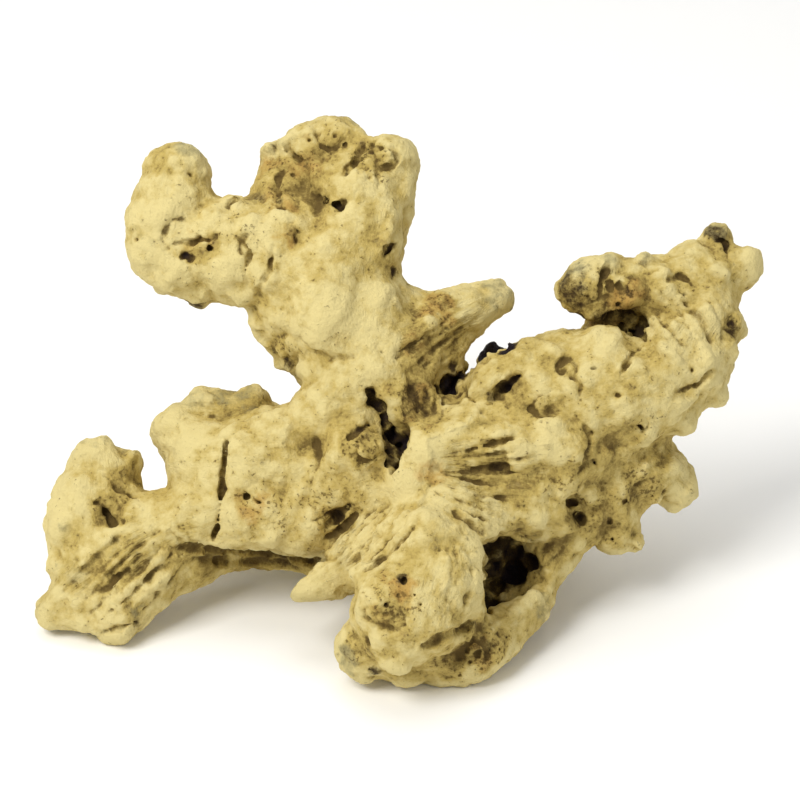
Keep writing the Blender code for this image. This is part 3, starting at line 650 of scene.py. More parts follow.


# ---------------------------------------------------------------- stains, weathered patches and painted shade
# (across, up, radius, strength), as seen from the front

STAINS_AND_SHADE = {
    # dark: the dark heartwood behind the bead, and painted shade in the middle cavity, the fork, the bead's
    # slit, the big hollow behind the front lobe, under the horn, in holes and beneath the ledge
    "dark": [
        (-11, 3, 3.5, 1), (-9.5, -3, 4, 1), (-7, -9, 5, 1), (-4, -14, 6, 1.4), (1, -19, 6, 1.4),
        (-4, -25, 5, 1), (-17, -12, 3, 0.8), (20, 6, 7, 1.6), (24, 10, 5, 1.3), (16, 3, 5, 0.7),
        (36, 20, 6, 2), (40, 20.6, 6, 2), (33.5, 18.5, 5, 2), (32.5, 15.6, 4, 2), (43.5, 21.5, 4, 2),
        (43, 5.5, 4, 1.1), (37, 1, 3, 0.9), (47, 9, 3, 0.9), (7, 0, 9, 0.55), (46, -71, 13, 1.6),
        (37, -83, 7, 1.5), (38, -62, 8, 1.0), (58, -64, 8, 0.35), (87, 34, 9, 0.55), (95, 28, 4.5, 1.0),
        (73, 37, 3.5, 0.6), (-25, 77, 2.6, 1), (-4, 60, 3.4, 1), (-3, 51, 2.4, 0.8), (-52, 100, 4, 0.6),
        (-48, 79, 3, 0.8), (-85, 58, 3, 0.9), (-82, 38, 5, 0.9), (-118, -45, 5, 0.2), (-26, -46, 4, 0.8),
        (40, -27, 5, 0.45), (-70, -36, 1.8, 0.7), (69, -40, 3.5, 0.7), (72, -47, 3, 0.7),
        (96, -10, 2.4, 0.9), (78, -25, 2.4, 0.7), (1, -71, 3.4, 1.0), (-12, -107, 4, 0.8),
        (-106, -90, 4, 0.7), (92, 43, 4, 0.6), (130, 61, 3.5, 0.7), (97, 55, 4, 0.6), (-12, 97, 6, 0.3),
        (-21, 91, 2.4, 0.7), (17, 38, 4, 0.5), (132.5, 30, 3.4, 0.7), (134, 11, 3.5, 0.8),
        (-6, -82, 4, 0.45), (-43, 67, 3, 0.7), (-46, 14, 4, 0.7), (-48, -63, 8, 0.45), (-34, -64, 5, 0.6),
        (66, 47, 5, 0.6), (75, -20, 3, 0.5), (70, 38, 8, 0.75), (127, 66, 6, 0.75), (67, 46, 8, 0.8),
        (70, 52, 6, 0.5), (80, 33, 8, 0.7), (72, 34, 7, 0.7), (90, 35, 9, 0.7), (74, 52, 6, 0.45),
        (-10, -108, 4, 0.9), (30, -90, 3, 0.7),
    ],
    "grey": [
        (-86, 101, 9, 0.9), (-104, 66, 8, 0.4), (-112, -18, 8, 1), (-122, -16, 8, 0.7), (-68, 2, 12, 0.9),
        (-82, 1, 6, 0.7), (-46, 104, 7, 0.5), (-16, 112, 7, 0.8), (70, 52, 8, 0.9), (84, 56, 7, 0.8),
        (127, 67, 7, 1), (-22, -103, 8, 1), (-135, -50, 9, 0.4), (-60, 80, 7, 0.5), (112, -40, 7, 0.5),
        (40, 44, 8, 0.9), (98, 56, 4, 0.8), (-48, 14, 6, 0.6), (58, -84, 9, 0.6), (-103, -88, 7, 0.6),
        (-30, -79, 8, 0.3), (14, -58, 9, 0.35), (30, 44, 7, 0.6),
    ],
    "tan": [
        (-53, 95, 6, 0.9), (90, 41, 9, 0.9), (-47, 79, 8, 0.7), (2, -76, 8, 0.8), (30, -100, 10, 0.6),
        (8, 0, 10, 0.6), (-85, 66, 8, 0.4), (-46, 64, 6, 0.5), (84, 31, 8, 0.7), (-35, -50, 9, 0.4),
        (14, -30, 8, 0.6), (-58, -42, 9, 0.5), (16, 37, 9, 0.7), (-38, 92, 12, 0.5), (-8, -84, 8, 0.5),
        (6, 22, 10, 0.4),
    ],
    "pale": [
        (-24, 34, 20, 0.8), (-92, 74, 16, 0.8), (-57, 67, 8, 0.8), (-68, 54, 10, 0.7), (-40, 56, 8, 0.9),
        (-86, -14, 15, 1), (2, -34, 10, 1), (62, -17, 12, 0.9), (82, 22, 14, 0.8), (-15, -21, 8, 0.2),
        (10, -44, 12, 0.7), (-102, -50, 9, 0.6), (-12, 8, 12, 0.6), (-98, 84, 9, 0.8), (-12, 86, 8, 0.4),
        (118, 20, 14, 0.6), (-128, -38, 12, 0.7), (14, -74, 10, 0.5), (140, 55, 6, 0.8), (-33, 106, 9, 0.5),
        (-70, -26, 12, 0.5), (-73, -46, 9, 0.7), (12, -22, 10, 0.7), (-40, -79, 8, 0.5), (104, 4, 10, 0.5),
    ],
    # brown: the wood's olive-brown, with painted shadow beneath the shelf and painted shade in the foot's
    # hollow and on the big hollow's wall
    "brown": [
        (-42, 86, 14, 0.6), (-30, 98, 10, 0.4), (8, 20, 12, 0.8), (20, 26, 10, 0.7), (18, 37, 8, 0.6),
        (8, 0, 12, 1), (8, 12, 9, 0.8), (88, 38, 13, 1), (74, 44, 10, 0.8), (98, 34, 9, 0.5),
        (36, -28, 12, 0.6), (52, -32, 11, 0.5), (80, -30, 14, 0.5), (100, -34, 13, 0.6), (84, -50, 13, 0.6),
        (66, -46, 10, 0.5), (-116, -44, 10, 0.7), (-108, -28, 8, 0.6), (-76, -64, 11, 1), (-58, -65, 11, 1),
        (-40, -67, 9, 1), (-14, -100, 12, 0.6), (-16, -72, 10, 0.4), (46, -55, 10, 0.8), (62, -60, 9, 0.7),
        (30, -98, 11, 0.7), (22, -104, 9, 0.7), (39, -98, 9, 0.7), (-66, -2, 14, 0.5), (-26, -46, 9, 0.6),
        (-12, -16, 11, 0.8), (66, 47, 8, 1), (72, 38, 9, 1), (82, 33, 9, 1), (127, 65, 7, 0.9),
        (46, 2, 9, 0.5), (72, -14, 9, 0.4), (128, 60, 8, 0.6), (132, 30, 7, 0.5), (-46, 22, 10, 0.4),
        (-84, -62, 8, 0.8), (-112, -66, 10, 0.4), (-106, -88, 8, 0.5), (20, -92, 9, 0.5), (-78, 60, 9, 0.4),
        (-44, 66, 7, 0.5), (-5, -82, 11, 0.4), (-12, 97, 9, 0.3), (-5, 55, 7, 0.5),
    ],
    "fibres": [
        (-122, -70, 14, 1), (-108, -62, 14, 1), (-96, -56, 10, 0.8), (26, -28, 12, 1), (38, -27, 14, 1),
        (50, -28, 12, 0.8), (36, -42, 10, 0.7), (-12, -50, 12, 0.8), (-26, -62, 12, 0.8), (4, 20, 12, 0.9),
        (16, 26, 12, 1), (26, 34, 9, 0.7), (110, 28, 12, 0.7), (122, 30, 8, 0.5), (6, -2, 8, 0.9),
        (18, -70, 14, 0.6), (-18, 48, 14, 0.4), (55, -64, 9, 1), (-30, -47, 8, 0.8), (-86, -58, 8, 0.8),
        (44, -84, 10, 0.4), (-6, 70, 12, 0.3), (-60, -14, 14, 0.4),
    ],
    "rough": [
        (-12, 97, 9, 1), (-40, 90, 15, 0.7), (-50, 82, 8, 0.8), (8, -1, 11, 1), (92, 42, 12, 0.9),
        (80, 46, 9, 0.8), (30, -99, 11, 1), (-4, -82, 12, 0.9), (-52, -42, 13, 0.7), (76, -46, 14, 0.9),
        (96, -34, 13, 0.9), (84, -54, 10, 0.8), (-30, -38, 12, 0.7), (-46, 22, 9, 0.9), (110, 38, 10, 0.6),
        (-84, -44, 8, 0.4), (-24, -52, 8, 0.6), (14, 36, 9, 0.8), (-18, -100, 9, 0.7), (22, -104, 9, 0.9),
        (39, -98, 9, 0.9), (-30, 107, 9, 0.5), (60, -34, 14, 0.5), (98, -9, 7, 0.7), (-82, 58, 9, 0.5),
        (-58, 70, 9, 0.5), (-116, -42, 9, 0.7), (70, -26, 8, 0.6), (-15, -19, 10, 1), (128, 62, 8, 0.7),
        (70, 42, 9, 0.9), (58, -2, 8, 0.4), (-66, 76, 7, 0.5), (-110, -30, 8, 0.5),
    ],
}

HOLLOW_DEPTH = 4.5  # how far the wide average of the distances sinks in a full hollow
CREVICE_DEPTH = 0.6  # the same for the narrow average in a crevice


def stained(field, points, places, wobble):
    """How strongly a patch covers each point, with ragged edges."""
    cover = np.zeros(len(points))
    for across, up, radius, strength in places:
        middle = field.seen(across, up)
        distance = np.linalg.norm(points - middle, axis=1) * (1 + 0.3 * wobble)
        edge = np.clip(1.3 - distance / radius, 0, 1)
        cover = np.maximum(cover, strength * edge * edge * (3 - 2 * edge))
    return cover


def surface_notes(field, points, clear):
    """What the lumps, grain, pores and finish need to know at each point of the skin."""
    wobble = np.clip(field.at(points, field_noise(field.value.shape, 3.0, SEED + 5)), -1.3, 1.3)
    half = field.coarser()
    near = field.at(points, field.blurred(2, 1))
    wide = half.at(points, half.blurred(3, 2))
    # hollow and crevice darken the colour in the finish as painted shade
    notes = {
        "hollow": np.clip(-wide / HOLLOW_DEPTH, -0.6, 1.2),
        "crevice": np.clip(-near / CREVICE_DEPTH, -0.6, 1.2)}
    for name, places in STAINS_AND_SHADE.items():
        notes[name] = stained(field, points, places, wobble)
    rough = notes["rough"]
    pale = notes["pale"]
    fibres = notes.pop("fibres")
    behind = np.clip((-25 - points[:, 2]) / 40, 0, 1)
    notes["gnarl"] = np.clip(0.75 + 0.5 * rough - 0.5 * pale - 0.3 * fibres + 0.5 * behind, 0.2, 1.4)
    notes["fibrous"] = clear * (np.clip(0.7 - 0.6 * rough, 0, 1) + 1.8 * fibres)
    notes["pitted"] = np.clip(0.05 + 0.45 * rough - 0.1 * pale + 0.12 * behind - notes["dark"], 0.01, 0.6)
    return notes


# ---------------------------------------------------------------- node trees

def named_input(tree, name, kind, value=None):
    """An input socket of a tree, with its resting value."""
    socket = tree.interface.new_socket(name=name, in_out="INPUT", socket_type=kind)
    if value is not None:
        socket.default_value = value


class Nodes:
    """Shorthand for adding linked nodes to a tree; start holds the tree's own inputs."""

    def __init__(self, tree):
        self.tree = tree
        self.start = tree.nodes.new("NodeGroupInput").outputs

    def add(self, kind, inputs=None, **settings):
        """A node with its settings made, and its inputs fed by name or number."""
        node = self.tree.nodes.new(kind)
        for name, value in settings.items():
            setattr(node, name, value)
        for name, value in (inputs or {}).items():
            self.feed(node.inputs[name], value)
        return node

    def feed(self, socket, value):
        """Link a socket to another node's output, or set it to a plain value."""
        if isinstance(value, bpy.types.NodeSocket):
            self.tree.links.new(value, socket)
        else:
            socket.default_value = value

    def maths(self, operation, *values):
        return self.add("ShaderNodeMath", dict(enumerate(values)), operation=operation).outputs[0]

    def vectors(self, operation, *values):
        return self.add("ShaderNodeVectorMath", dict(enumerate(values)), operation=operation).outputs[0]

    def ramp(self, value, low, high, first=0.0, last=1.0):
        """A value that eases from first to last as another goes from low to high."""
        limits = {"Value": value, "From Min": low, "From Max": high, "To Min": first, "To Max": last}
        return self.add("ShaderNodeMapRange", limits, interpolation_type="SMOOTHSTEP").outputs["Result"]


# ---------------------------------------------------------------- lumps, grain and pores

SKIN_SIZES = {
    "Lump Size": 10.5, "Lump Rise": 3.2, "Knot Size": 4.6, "Knot Rise": 1.4, "Crumb Rise": 1.1,
    "Grain Width": 2.0, "Grain Stretch": 8.0, "Grain Rise": 0.16,
    "Pore Spacing": 3.6, "Pore Width": 0.24, "Pore Depth": 1.4, "Seed": 3.0,
}


class SkinNodes(Nodes):
    """The patterns of the skin; places and sizes are in millimetres."""

    def product(self, first, second):
        return self.maths("MULTIPLY", first, second)

    def attribute(self, name, kind="FLOAT"):
        note = self.add("GeometryNodeInputNamedAttribute", {"Name": name}, data_type=kind)
        return note.outputs["Attribute"]

    def stretched(self, vector, x, y, z):
        """The vector with each axis multiplied by its own socket."""
        factors = self.add("ShaderNodeCombineXYZ", {0: x, 1: y, 2: z})
        return self.vectors("MULTIPLY", vector, factors.outputs[0])

    def noise(self, vector, detail=2.0, output="Fac"):
        """Noise with a grain of about one unit."""
        inputs = {"Vector": vector, "W": self.start["Seed"], "Scale": 1.0, "Detail": detail}
        return self.add("ShaderNodeTexNoise", inputs, noise_dimensions="4D").outputs[output]

    def patches(self, vector, size, detail=2.0, output="Fac"):
        """Noise with a grain of the given size."""
        return self.noise(self.vectors("MULTIPLY", vector, (1 / size,) * 3), detail, output)

    def wander(self, vector, size, by):
        """The place, moved about at random by a few millimetres."""
        moved = self.vectors("SUBTRACT", self.patches(vector, size, 1.0, "Color"), (0.5, 0.5, 0.5))
        return self.vectors("ADD", vector, self.vectors("MULTIPLY", moved, (by,) * 3))

    def cells(self, vector, size):
        """Scattered cells about as large as the socket says."""
        pitch = self.maths("DIVIDE", 1.0, size)
        inputs = {"Vector": self.stretched(vector, pitch, pitch, pitch), "Scale": 1.0}
        return self.add("ShaderNodeTexVoronoi", inputs).outputs

    def domes(self, vector, size):
        """Rounded lumps with creases between them, from about -0.4 to 0.3."""
        distance = self.cells(vector, size)["Distance"]
        spread = self.product(distance, distance)
        return self.maths("SUBTRACT", 0.28, self.maths("SMOOTH_MIN", spread, 0.6, 0.15))

    def stripes(self, patches):
        """Fine ridges along the grain, where the wood is fibrous."""
        start = self.start
        fine = self.maths("DIVIDE", 1.0, start["Grain Width"])
        long = self.maths("DIVIDE", fine, start["Grain Stretch"])
        grain = self.stretched(self.attribute("grain", "FLOAT_VECTOR"), long, fine, fine)
        stripe = self.maths("ABSOLUTE", self.maths("SUBTRACT", self.noise(grain, 2.5), 0.5))
        stripe = self.maths("SUBTRACT", self.product(self.maths("MINIMUM", stripe, 0.16), 6.0), 0.5)
        where = self.product(self.attribute("fibrous"), patches)
        return self.product(self.product(stripe, start["Grain Rise"]), where)

    def relief(self, place):
        """How far the lumps, knots, crumbs and stripes stand up from the skin."""
        start = self.start
        bent = self.wander(place, 14, 10)
        gnarl = self.attribute("gnarl")
        patches = self.maths("ADD", 0.25, self.product(self.patches(place, 26), 1.5))
        lumps = self.product(self.domes(bent, start["Lump Size"]), start["Lump Rise"])
        lumps = self.product(lumps, self.product(gnarl, patches))
        knots = self.product(self.domes(self.wander(bent, 4, 3), start["Knot Size"]), start["Knot Rise"])
        knots = self.product(knots, gnarl)
        crumbs = self.maths("SUBTRACT", self.patches(place, 2.4), 0.5)
        crumbs = self.product(crumbs, self.product(start["Crumb Rise"], self.maths("ADD", 0.35, gnarl)))
        fine = self.maths("ADD", crumbs, self.stripes(patches))
        return self.maths("ADD", self.maths("ADD", lumps, knots), fine)

    def pores(self, place):
        """(how far inside a pore each point is, from 0 to 1, and how deep it is sunk there)."""
        start = self.start
        cells = self.cells(self.wander(self.wander(place, 9, 6), 1.8, 2.0), start["Pore Spacing"])
        chance, wide, deep = self.add("FunctionNodeSeparateColor", {0: cells["Color"]}).outputs[:3]
        width = self.product(start["Pore Width"], self.maths("ADD", 0.45, wide))
        inside = self.ramp(cells["Distance"], self.product(width, 0.1), width, 1.0, 0.0)
        pore = self.product(inside, self.maths("LESS_THAN", chance, self.attribute("pitted")))
        return pore, self.product(self.product(pore, start["Pore Depth"]), self.maths("ADD", 0.4, deep))


def skin_tree():
    """Geometry Nodes that raise lumps and grain all over the skin and press pores into it."""
    tree = bpy.data.node_groups.new("lumps_grain_and_pores", "GeometryNodeTree")
    tree.is_modifier = True
    named_input(tree, "Skin", "NodeSocketGeometry")
    for name in SKIN_SIZES:
        named_input(tree, name, "NodeSocketFloat", 1.0)
    named_input(tree, "Wood", "NodeSocketMaterial")
    tree.interface.new_socket(name="Skin", in_out="OUTPUT", socket_type="NodeSocketGeometry")
    nodes = SkinNodes(tree)
    place = nodes.vectors("MULTIPLY", nodes.add("GeometryNodeInputPosition").outputs[0], (1000, 1000, 1000))
    relief = nodes.relief(place)
    pore, sunk = nodes.pores(place)
    skin = nodes.start["Skin"]
    for name, value in (("pore", pore), ("relief", relief)):
        inputs = {"Geometry": skin, "Name": name, "Value": value}
        note = nodes.add("GeometryNodeStoreNamedAttribute", inputs, data_type="FLOAT", domain="POINT")
        skin = note.outputs[0]
    height = nodes.product(nodes.maths("SUBTRACT", relief, sunk), 0.001)
    inputs = {0: nodes.add("GeometryNodeInputNormal").outputs[0], "Scale": height}
    push = nodes.add("ShaderNodeVectorMath", inputs, operation="SCALE")
    raised = nodes.add("GeometryNodeSetPosition", {"Geometry": skin, "Offset": push.outputs[0]})
    real = nodes.add("GeometryNodeRealizeInstances", {0: raised.outputs[0]})
    inputs = {"Geometry": real.outputs[0], "Material": nodes.start["Wood"]}
    finish = nodes.add("GeometryNodeSetMaterial", inputs)
    nodes.add("NodeGroupOutput", {0: finish.outputs[0]})
    return tree


def add_skin_tree(piece, wood):
    """The tree as a modifier of the piece, with its sizes set."""
    tree = skin_tree()
    modifier = piece.modifiers.new("lumps_grain_and_pores", "NODES")
    modifier.node_group = tree
    for item in tree.interface.items_tree:
        if item.in_out == "INPUT" and item.name in SKIN_SIZES:
            modifier[item.identifier] = SKIN_SIZES[item.name]
        if item.in_out == "INPUT" and item.name == "Wood":
            modifier[item.identifier] = wood


# ---------------------------------------------------------------- materials

# what the finish is told at each point, all but Fibrous at rest at zero
MASKS = ("Hollow", "Crevice", "Relief", "Dark", "Grey", "Tan", "Pale", "Brown", "Rough", "Pore", "Fibrous")
# Olive, Umber, Bark and the near-black are also laid as painted shade in hollows, crevices and pores
WOOD_COLORS = {
    "Cream": (0.665, 0.555, 0.247), "Straw": (0.50, 0.375, 0.11), "Olive": (0.225, 0.155, 0.038),
    "Umber": (0.105, 0.066, 0.017), "Bark": (0.045, 0.026, 0.008), "Heart_and_Shade": (0.010, 0.005, 0.007),
    "Ash": (0.27, 0.25, 0.135), "Amber": (0.48, 0.27, 0.065),
}
ALONG_GRAIN = (0.12, 1, 1)  # how the streaks are drawn out along the grain
ALONG_THREAD = (0.09, 1, 1)  # the same for the finer threads


class FinishNodes(Nodes):
    """The patterns and colours of the finish; values are known by name, the group's inputs among them."""

    def __init__(self, group):
        super().__init__(group)
        self.known = {socket.name: socket for socket in self.start}
        self.color = self.known["Cream"]

    def total(self, plus=0.0, **weights):
        """The sum of known values, each times its weight."""
        whole = None
        for name, weight in weights.items():
            part = self.maths("MULTIPLY", self.known[name], weight)
            whole = part if whole is None else self.maths("ADD", whole, part)
        return self.maths("ADD", whole, plus) if plus else whole

    def over(self, factor, name):
        """Lay a known colour over the colour so far."""
        inputs = {0: factor, 6: self.color, 7: self.known[name]}
        self.color = self.add("ShaderNodeMix", inputs, data_type="RGBA").outputs[2]

    def noise(self, vector, scale, detail, stretch=(1, 1, 1)):
        """Noise centred on zero, mostly within 0.5 each way."""
        spread = self.vectors("MULTIPLY", self.known[vector], stretch)
        inputs = {"Vector": spread, "Scale": scale, "Detail": detail, "Roughness": 0.6}
        value = self.add("ShaderNodeTexNoise", inputs).outputs["Fac"]
        return self.maths("MULTIPLY", self.maths("SUBTRACT", value, 0.5), 2.0)

    def fibres(self, scale, detail, stretch, patchy):
        """Streaks along the grain, where the wood is fibrous."""
        streak = self.maths("MULTIPLY", self.noise("Grain", scale, detail, stretch), self.known["Fibrous"])
        return self.maths("MULTIPLY", streak, patchy)

    def add_patterns(self):
        """Streaks and threads along the grain, and mottling from broad clouds to specks."""
        patchy = self.ramp(self.noise("Place", 60.0, 2.0), -0.35, 0.35)
        self.known.update(
            streak=self.fibres(0.45, 4.0, ALONG_GRAIN, patchy),
            thread=self.fibres(1.5, 3.0, ALONG_THREAD, patchy),
            broad=self.noise("Place", 24.0, 2.0), cloud=self.noise("Place", 85.0, 4.0),
            mottle=self.noise("Place", 260.0, 3.0), speck=self.noise("Place", 750.0, 2.0))

    def lay_colors(self):
        """The colours of the wood laid over each other, from the palest wood to the darkest stains; hollows,
        crevices and the valleys between lumps are painted darker, and crests lighter, as painted shade.
        """
        # painted shade: the tone deepens in hollows and between lumps and lightens on crests, and the Brown
        # patches bring painted shadow beneath the shelf
        self.known["tone"] = self.total(
            Hollow=0.9, Relief=-0.24, streak=0.5, cloud=0.6, mottle=0.6, broad=0.6, Rough=0.2, Pale=-0.35,
            Brown=0.85, plus=0.42)
        self.over(self.ramp(self.known["tone"], 0.0, 0.75), "Straw")
        tone = self.total(tone=1, thread=0.5, speck=0.5, mottle=0.2)
        self.over(self.ramp(tone, 0.5, 1.4, last=0.85), "Olive")
        self.over(self.ramp(self.total(Tan=1, cloud=1, mottle=0.5), 0.3, 1.1, last=0.6), "Amber")
        self.over(self.ramp(self.total(Grey=1, cloud=0.9, mottle=0.9), 0.3, 1.2, last=0.65), "Ash")
        # painted shade: umber laid in crevices, hollows and the valleys between lumps, partly the wood's own
        # olive-brown in low places
        deep = self.total(
            Crevice=1.1, Hollow=0.7, Relief=-0.28, thread=0.45, speck=0.35, mottle=0.4, Rough=0.15, Brown=0.5,
            Pale=-0.15)
        self.over(self.ramp(deep, 0.2, 1.2, last=0.9), "Umber")
        fleck = self.ramp(self.total(speck=1, mottle=0.6, Rough=0.3), 0.32, 0.66, last=0.75)
        self.over(fleck, "Umber")
        # painted shade: the pores darkened inside
        self.over(self.maths("MULTIPLY", self.known["Pore"], 0.85), "Bark")
        # the darkest layers: the dark heartwood behind the bead, and painted shade in the deepest hollows,
        # holes and crevices
        stain = self.total(Dark=1, Crevice=0.3, mottle=0.5, speck=0.3, plus=-0.05)
        self.over(self.ramp(stain, 0.2, 0.95, last=0.95), "Bark")
        self.over(self.ramp(stain, 0.8, 1.5), "Heart_and_Shade")
        self.known.update(fleck=fleck, stain=stain)


def shade_group():
    """A group that turns hollows, stains and grain into the wood's colour, with painted shade in hollows and
    creases, and its finest grain's height.
    """
    group = bpy.data.node_groups.new("weathered_and_shaded_wood", "ShaderNodeTree")
    for name in MASKS:
        named_input(group, name, "NodeSocketFloat", 1.0 if name == "Fibrous" else 0.0)
    for name in ("Grain", "Place"):
        named_input(group, name, "NodeSocketVector")
    for name, color in WOOD_COLORS.items():
        named_input(group, name, "NodeSocketColor", (*color, 1))
    for name, kind in (("Color", "Color"), ("Roughness", "Float"), ("Height", "Float")):
        group.interface.new_socket(name=name, in_out="OUTPUT", socket_type="NodeSocket" + kind)
    nodes = FinishNodes(group)
    nodes.add_patterns()
    nodes.lay_colors()
    nodes.add("NodeGroupOutput", {
        "Color": nodes.color,
        "Roughness": nodes.maths("SUBTRACT", 0.88, nodes.ramp(nodes.known["stain"], 0.7, 1.4, last=0.2)),
        "Height": nodes.total(thread=0.6, mottle=0.9, speck=0.4, fleck=-0.5)})
    return group


def wood_finish(group):
    """Dry sandblasted wood: the group's colour on a rough shader, with its finest grain as a bump."""
    finish = bpy.data.materials.new("sandblasted_wood")
    finish.use_nodes = True
    nodes = finish.node_tree.nodes
    links = finish.node_tree.links
    shader = nodes["Principled BSDF"]
    shader.inputs["Specular IOR Level"].default_value = 0.2
    wood_colouring = nodes.new("ShaderNodeGroup")
    wood_colouring.node_tree = group
    for name in (*MASKS, "Grain"):
        note = nodes.new("ShaderNodeAttribute")
        note.attribute_name = name.lower()
        links.new(note.outputs["Vector" if name == "Grain" else "Fac"], wood_colouring.inputs[name])
    place = nodes.new("ShaderNodeTexCoord")
    links.new(place.outputs["Object"], wood_colouring.inputs["Place"])
    bump = nodes.new("ShaderNodeBump")
    bump.inputs["Distance"].default_value = 0.0008
    bump.inputs["Strength"].default_value = 0.8
    links.new(wood_colouring.outputs["Height"], bump.inputs["Height"])
    links.new(bump.outputs["Normal"], shader.inputs["Normal"])
    links.new(wood_colouring.outputs["Color"], shader.inputs["Base Color"])
    links.new(wood_colouring.outputs["Roughness"], shader.inputs["Roughness"])
    return finish


def plain_finish(name, color, roughness):
    """A plain studio surface."""
    finish = bpy.data.materials.new(name)
    finish.use_nodes = True
    shader = finish.node_tree.nodes["Principled BSDF"]
    shader.inputs["Base Color"].default_value = (*color, 1)
    shader.inputs["Roughness"].default_value = roughness
    return finish


# ---------------------------------------------------------------- the piece

def linked(name, data):
    """A new object of the scene."""
    thing = bpy.data.objects.new(name, data)
    bpy.context.scene.collection.objects.link(thing)
    return thing


def skinned(points, quads, name):
    """A mesh object from points and quads."""
    mesh = bpy.data.meshes.new(name)
    mesh.vertices.add(len(points))
    mesh.vertices.foreach_set("co", np.ascontiguousarray(points, np.float32).ravel())
    mesh.loops.add(quads.size)
    mesh.loops.foreach_set("vertex_index", np.ascontiguousarray(quads, np.int32).ravel())
    mesh.polygons.add(len(quads))
    mesh.polygons.foreach_set("loop_start", np.arange(0, quads.size, 4, dtype=np.int32))
    mesh.update(calc_edges=True)
    return linked(name, mesh)


def without_islands(points, quads):
    """The largest whole skin, without crumbs cut loose from it or bubbles inside it."""
    label = np.arange(len(points))
    while True:
        least = label[quads].min(axis=1)
        lower = label.copy()
        for corner in quads.T:
            np.minimum.at(lower, corner, least)
        lower = lower[lower]
        if (lower == label).all():
            break
        label = lower
    skin_of = label[quads[:, 0]]
    names, sizes = np.unique(skin_of, return_counts=True)
    used, kept = np.unique(quads[skin_of == names[sizes.argmax()]], return_inverse=True)
    return points[used], kept.reshape(-1, 4)


def facing_out(quads, points):
    """The quads in the order that makes the whole skin's volume positive."""
    corners = points[quads]
    volume = np.einsum("ij,ij->i", corners[:, 0], np.cross(corners[:, 1], corners[:, 2])).sum()
    volume += np.einsum("ij,ij->i", corners[:, 0], np.cross(corners[:, 2], corners[:, 3])).sum()
    return quads if volume > 0 else quads[:, ::-1]


def add_attribute(mesh, name, values, kind="FLOAT"):
    """A value for every vertex of a mesh."""
    layer = mesh.attributes.new(name, kind, "POINT")
    flat = np.ascontiguousarray(values, np.float32).ravel()
    layer.data.foreach_set("vector" if kind == "FLOAT_VECTOR" else "value", flat)


def thin_out(piece):
    """The piece with its modifiers made part of its mesh, thinned to its number of triangles."""
    thin = piece.modifiers.new("thin_out", "DECIMATE")
    thin.ratio = TRIANGLES / (2 * len(piece.data.polygons))
    thin.use_collapse_triangulate = True
    graph = bpy.context.evaluated_depsgraph_get()
    mesh = bpy.data.meshes.new_from_object(piece.evaluated_get(graph))
    piece.modifiers.clear()
    piece.data = mesh


def stand_on_floor(mesh):
    """Lift whatever the lumps have pushed below the floor."""
    flat = np.empty(len(mesh.vertices) * 3, np.float32)
    mesh.vertices.foreach_get("co", flat)
    flat[2::3] = np.maximum(flat[2::3], 0)
    mesh.vertices.foreach_set("co", flat)


def make_wood(node, finish):
    """The gnarled wood as one closed mesh, from its CAD node."""
    points, triangles = merged_mesh(node)
    field = Field(to_face(points), triangles)
    field.value = field.blurred(2, 1) - REGROWN
    work_field(field)
    skin, quads = without_islands(*field.skin())
    piece = skinned(to_row(skin), facing_out(quads, skin), "weathered_root")
    grain, clear = grain_place(skin)
    add_attribute(piece.data, "grain", grain, "FLOAT_VECTOR")
    for name, values in surface_notes(field, skin, clear).items():
        add_attribute(piece.data, name, values)
    add_skin_tree(piece, finish)
    thin_out(piece)
    piece.data.materials.clear()
    piece.data.materials.append(finish)
    stand_on_floor(piece.data)
    piece.data.shade_smooth()
    return piece


# ---------------------------------------------------------------- the studio
# places and sizes in metres, in the row frame

FLOOR_PROFILE = [(-3.0, 0.0), (1.2, 0.0), (1.7, 0.05), (2.1, 0.25), (2.3, 0.7), (2.35, 3.0)]  # (back, up)
FLOOR_SIDES = (-3, 3)
LIT_PLACE = (0, 0, 0.08)  # what the lights point at
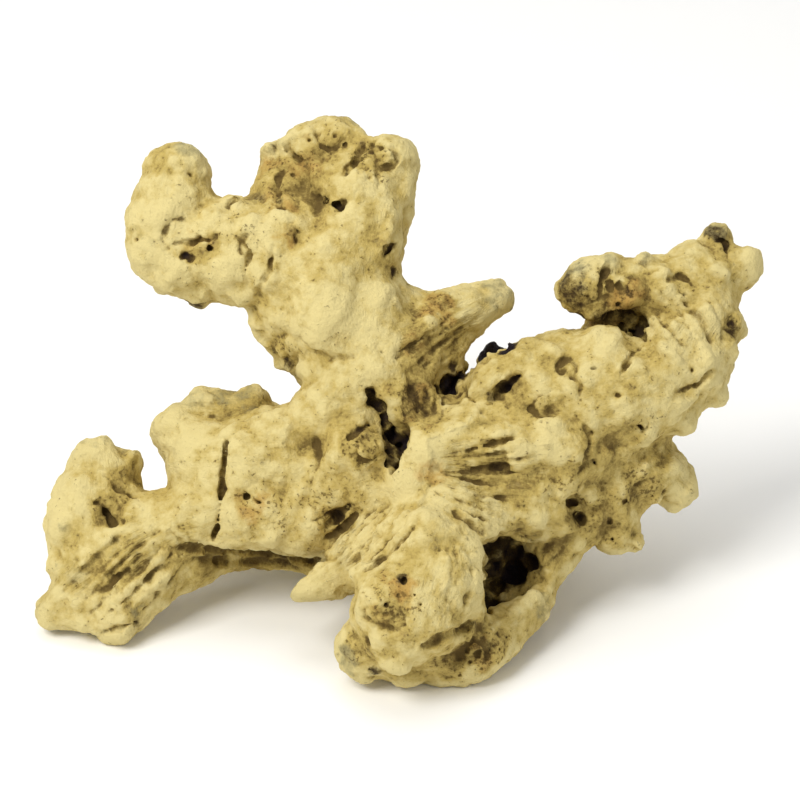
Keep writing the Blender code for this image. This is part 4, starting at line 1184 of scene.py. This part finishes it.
# (name, place, size, watts, colour)
LIGHTS = [
    ("key_light", (-0.9, -0.8, 1.5), 0.9, 27, (1, 0.985, 0.95)),
    ("fill_light", (1.3, -0.9, 0.8), 1.4, 4, (1, 1, 1)),
    ("top_light", (0, 0.5, 1.8), 1.4, 12, (1, 1, 1)),
]
ROOM_LIGHT = 0.34  # strength of the room's own light
LENS = 135  # millimetres
SENSOR = 36  # millimetres


def add_floor():
    """A pale floor that sweeps up behind."""
    form = bmesh.new()
    rows = [[form.verts.new((x, y, z)) for x in FLOOR_SIDES] for y, z in FLOOR_PROFILE]
    for (a, b), (c, d) in zip(rows, rows[1:]):
        form.faces.new((a, b, d, c))
    mesh = bpy.data.meshes.new("studio_floor")
    form.to_mesh(mesh)
    form.free()
    mesh.shade_smooth()
    mesh.materials.append(plain_finish("white_paper", (0.97, 0.97, 0.96), 0.9))
    linked("studio_floor", mesh)


def add_lights():
    """Soft light from above and both sides, in a softly lit room."""
    for name, place, size, watts, color in LIGHTS:
        lamp = bpy.data.lights.new(name, "AREA")
        lamp.size = size
        lamp.energy = watts
        lamp.color = color
        light = linked(name, lamp)
        light.location = place
        light.rotation_euler = (Vector(LIT_PLACE) - Vector(place)).to_track_quat("-Z", "Y").to_euler()
    world = bpy.data.worlds.new("soft_room")
    world.use_nodes = True
    room = world.node_tree.nodes["Background"]
    room.inputs["Color"].default_value = (1, 1, 1, 1)
    room.inputs["Strength"].default_value = ROOM_LIGHT
    bpy.context.scene.world = world
    bpy.context.scene.view_settings.view_transform = "Standard"


def add_camera():
    """The camera, straight in front of the middle of the face."""
    lens = bpy.data.cameras.new("front_camera")
    lens.lens = LENS
    lens.sensor_width = SENSOR
    camera = linked("front_camera", lens)
    camera.location = Vector(FACE_MIDDLE) / 1000 + Vector((0, -math.cos(LEAN), math.sin(LEAN))) * EYE / 1000
    camera.rotation_euler = (math.pi / 2 - LEAN, 0, 0)
    bpy.context.scene.camera = camera


def main():
    """The wood and its studio, in the part's frame."""
    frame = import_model()
    piece = make_wood(frame["nodes"]["gnarled_wood"], wood_finish(shade_group()))
    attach(piece, "root")
    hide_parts("gnarled_wood")
    add_floor()
    add_lights()
    add_camera()


main()
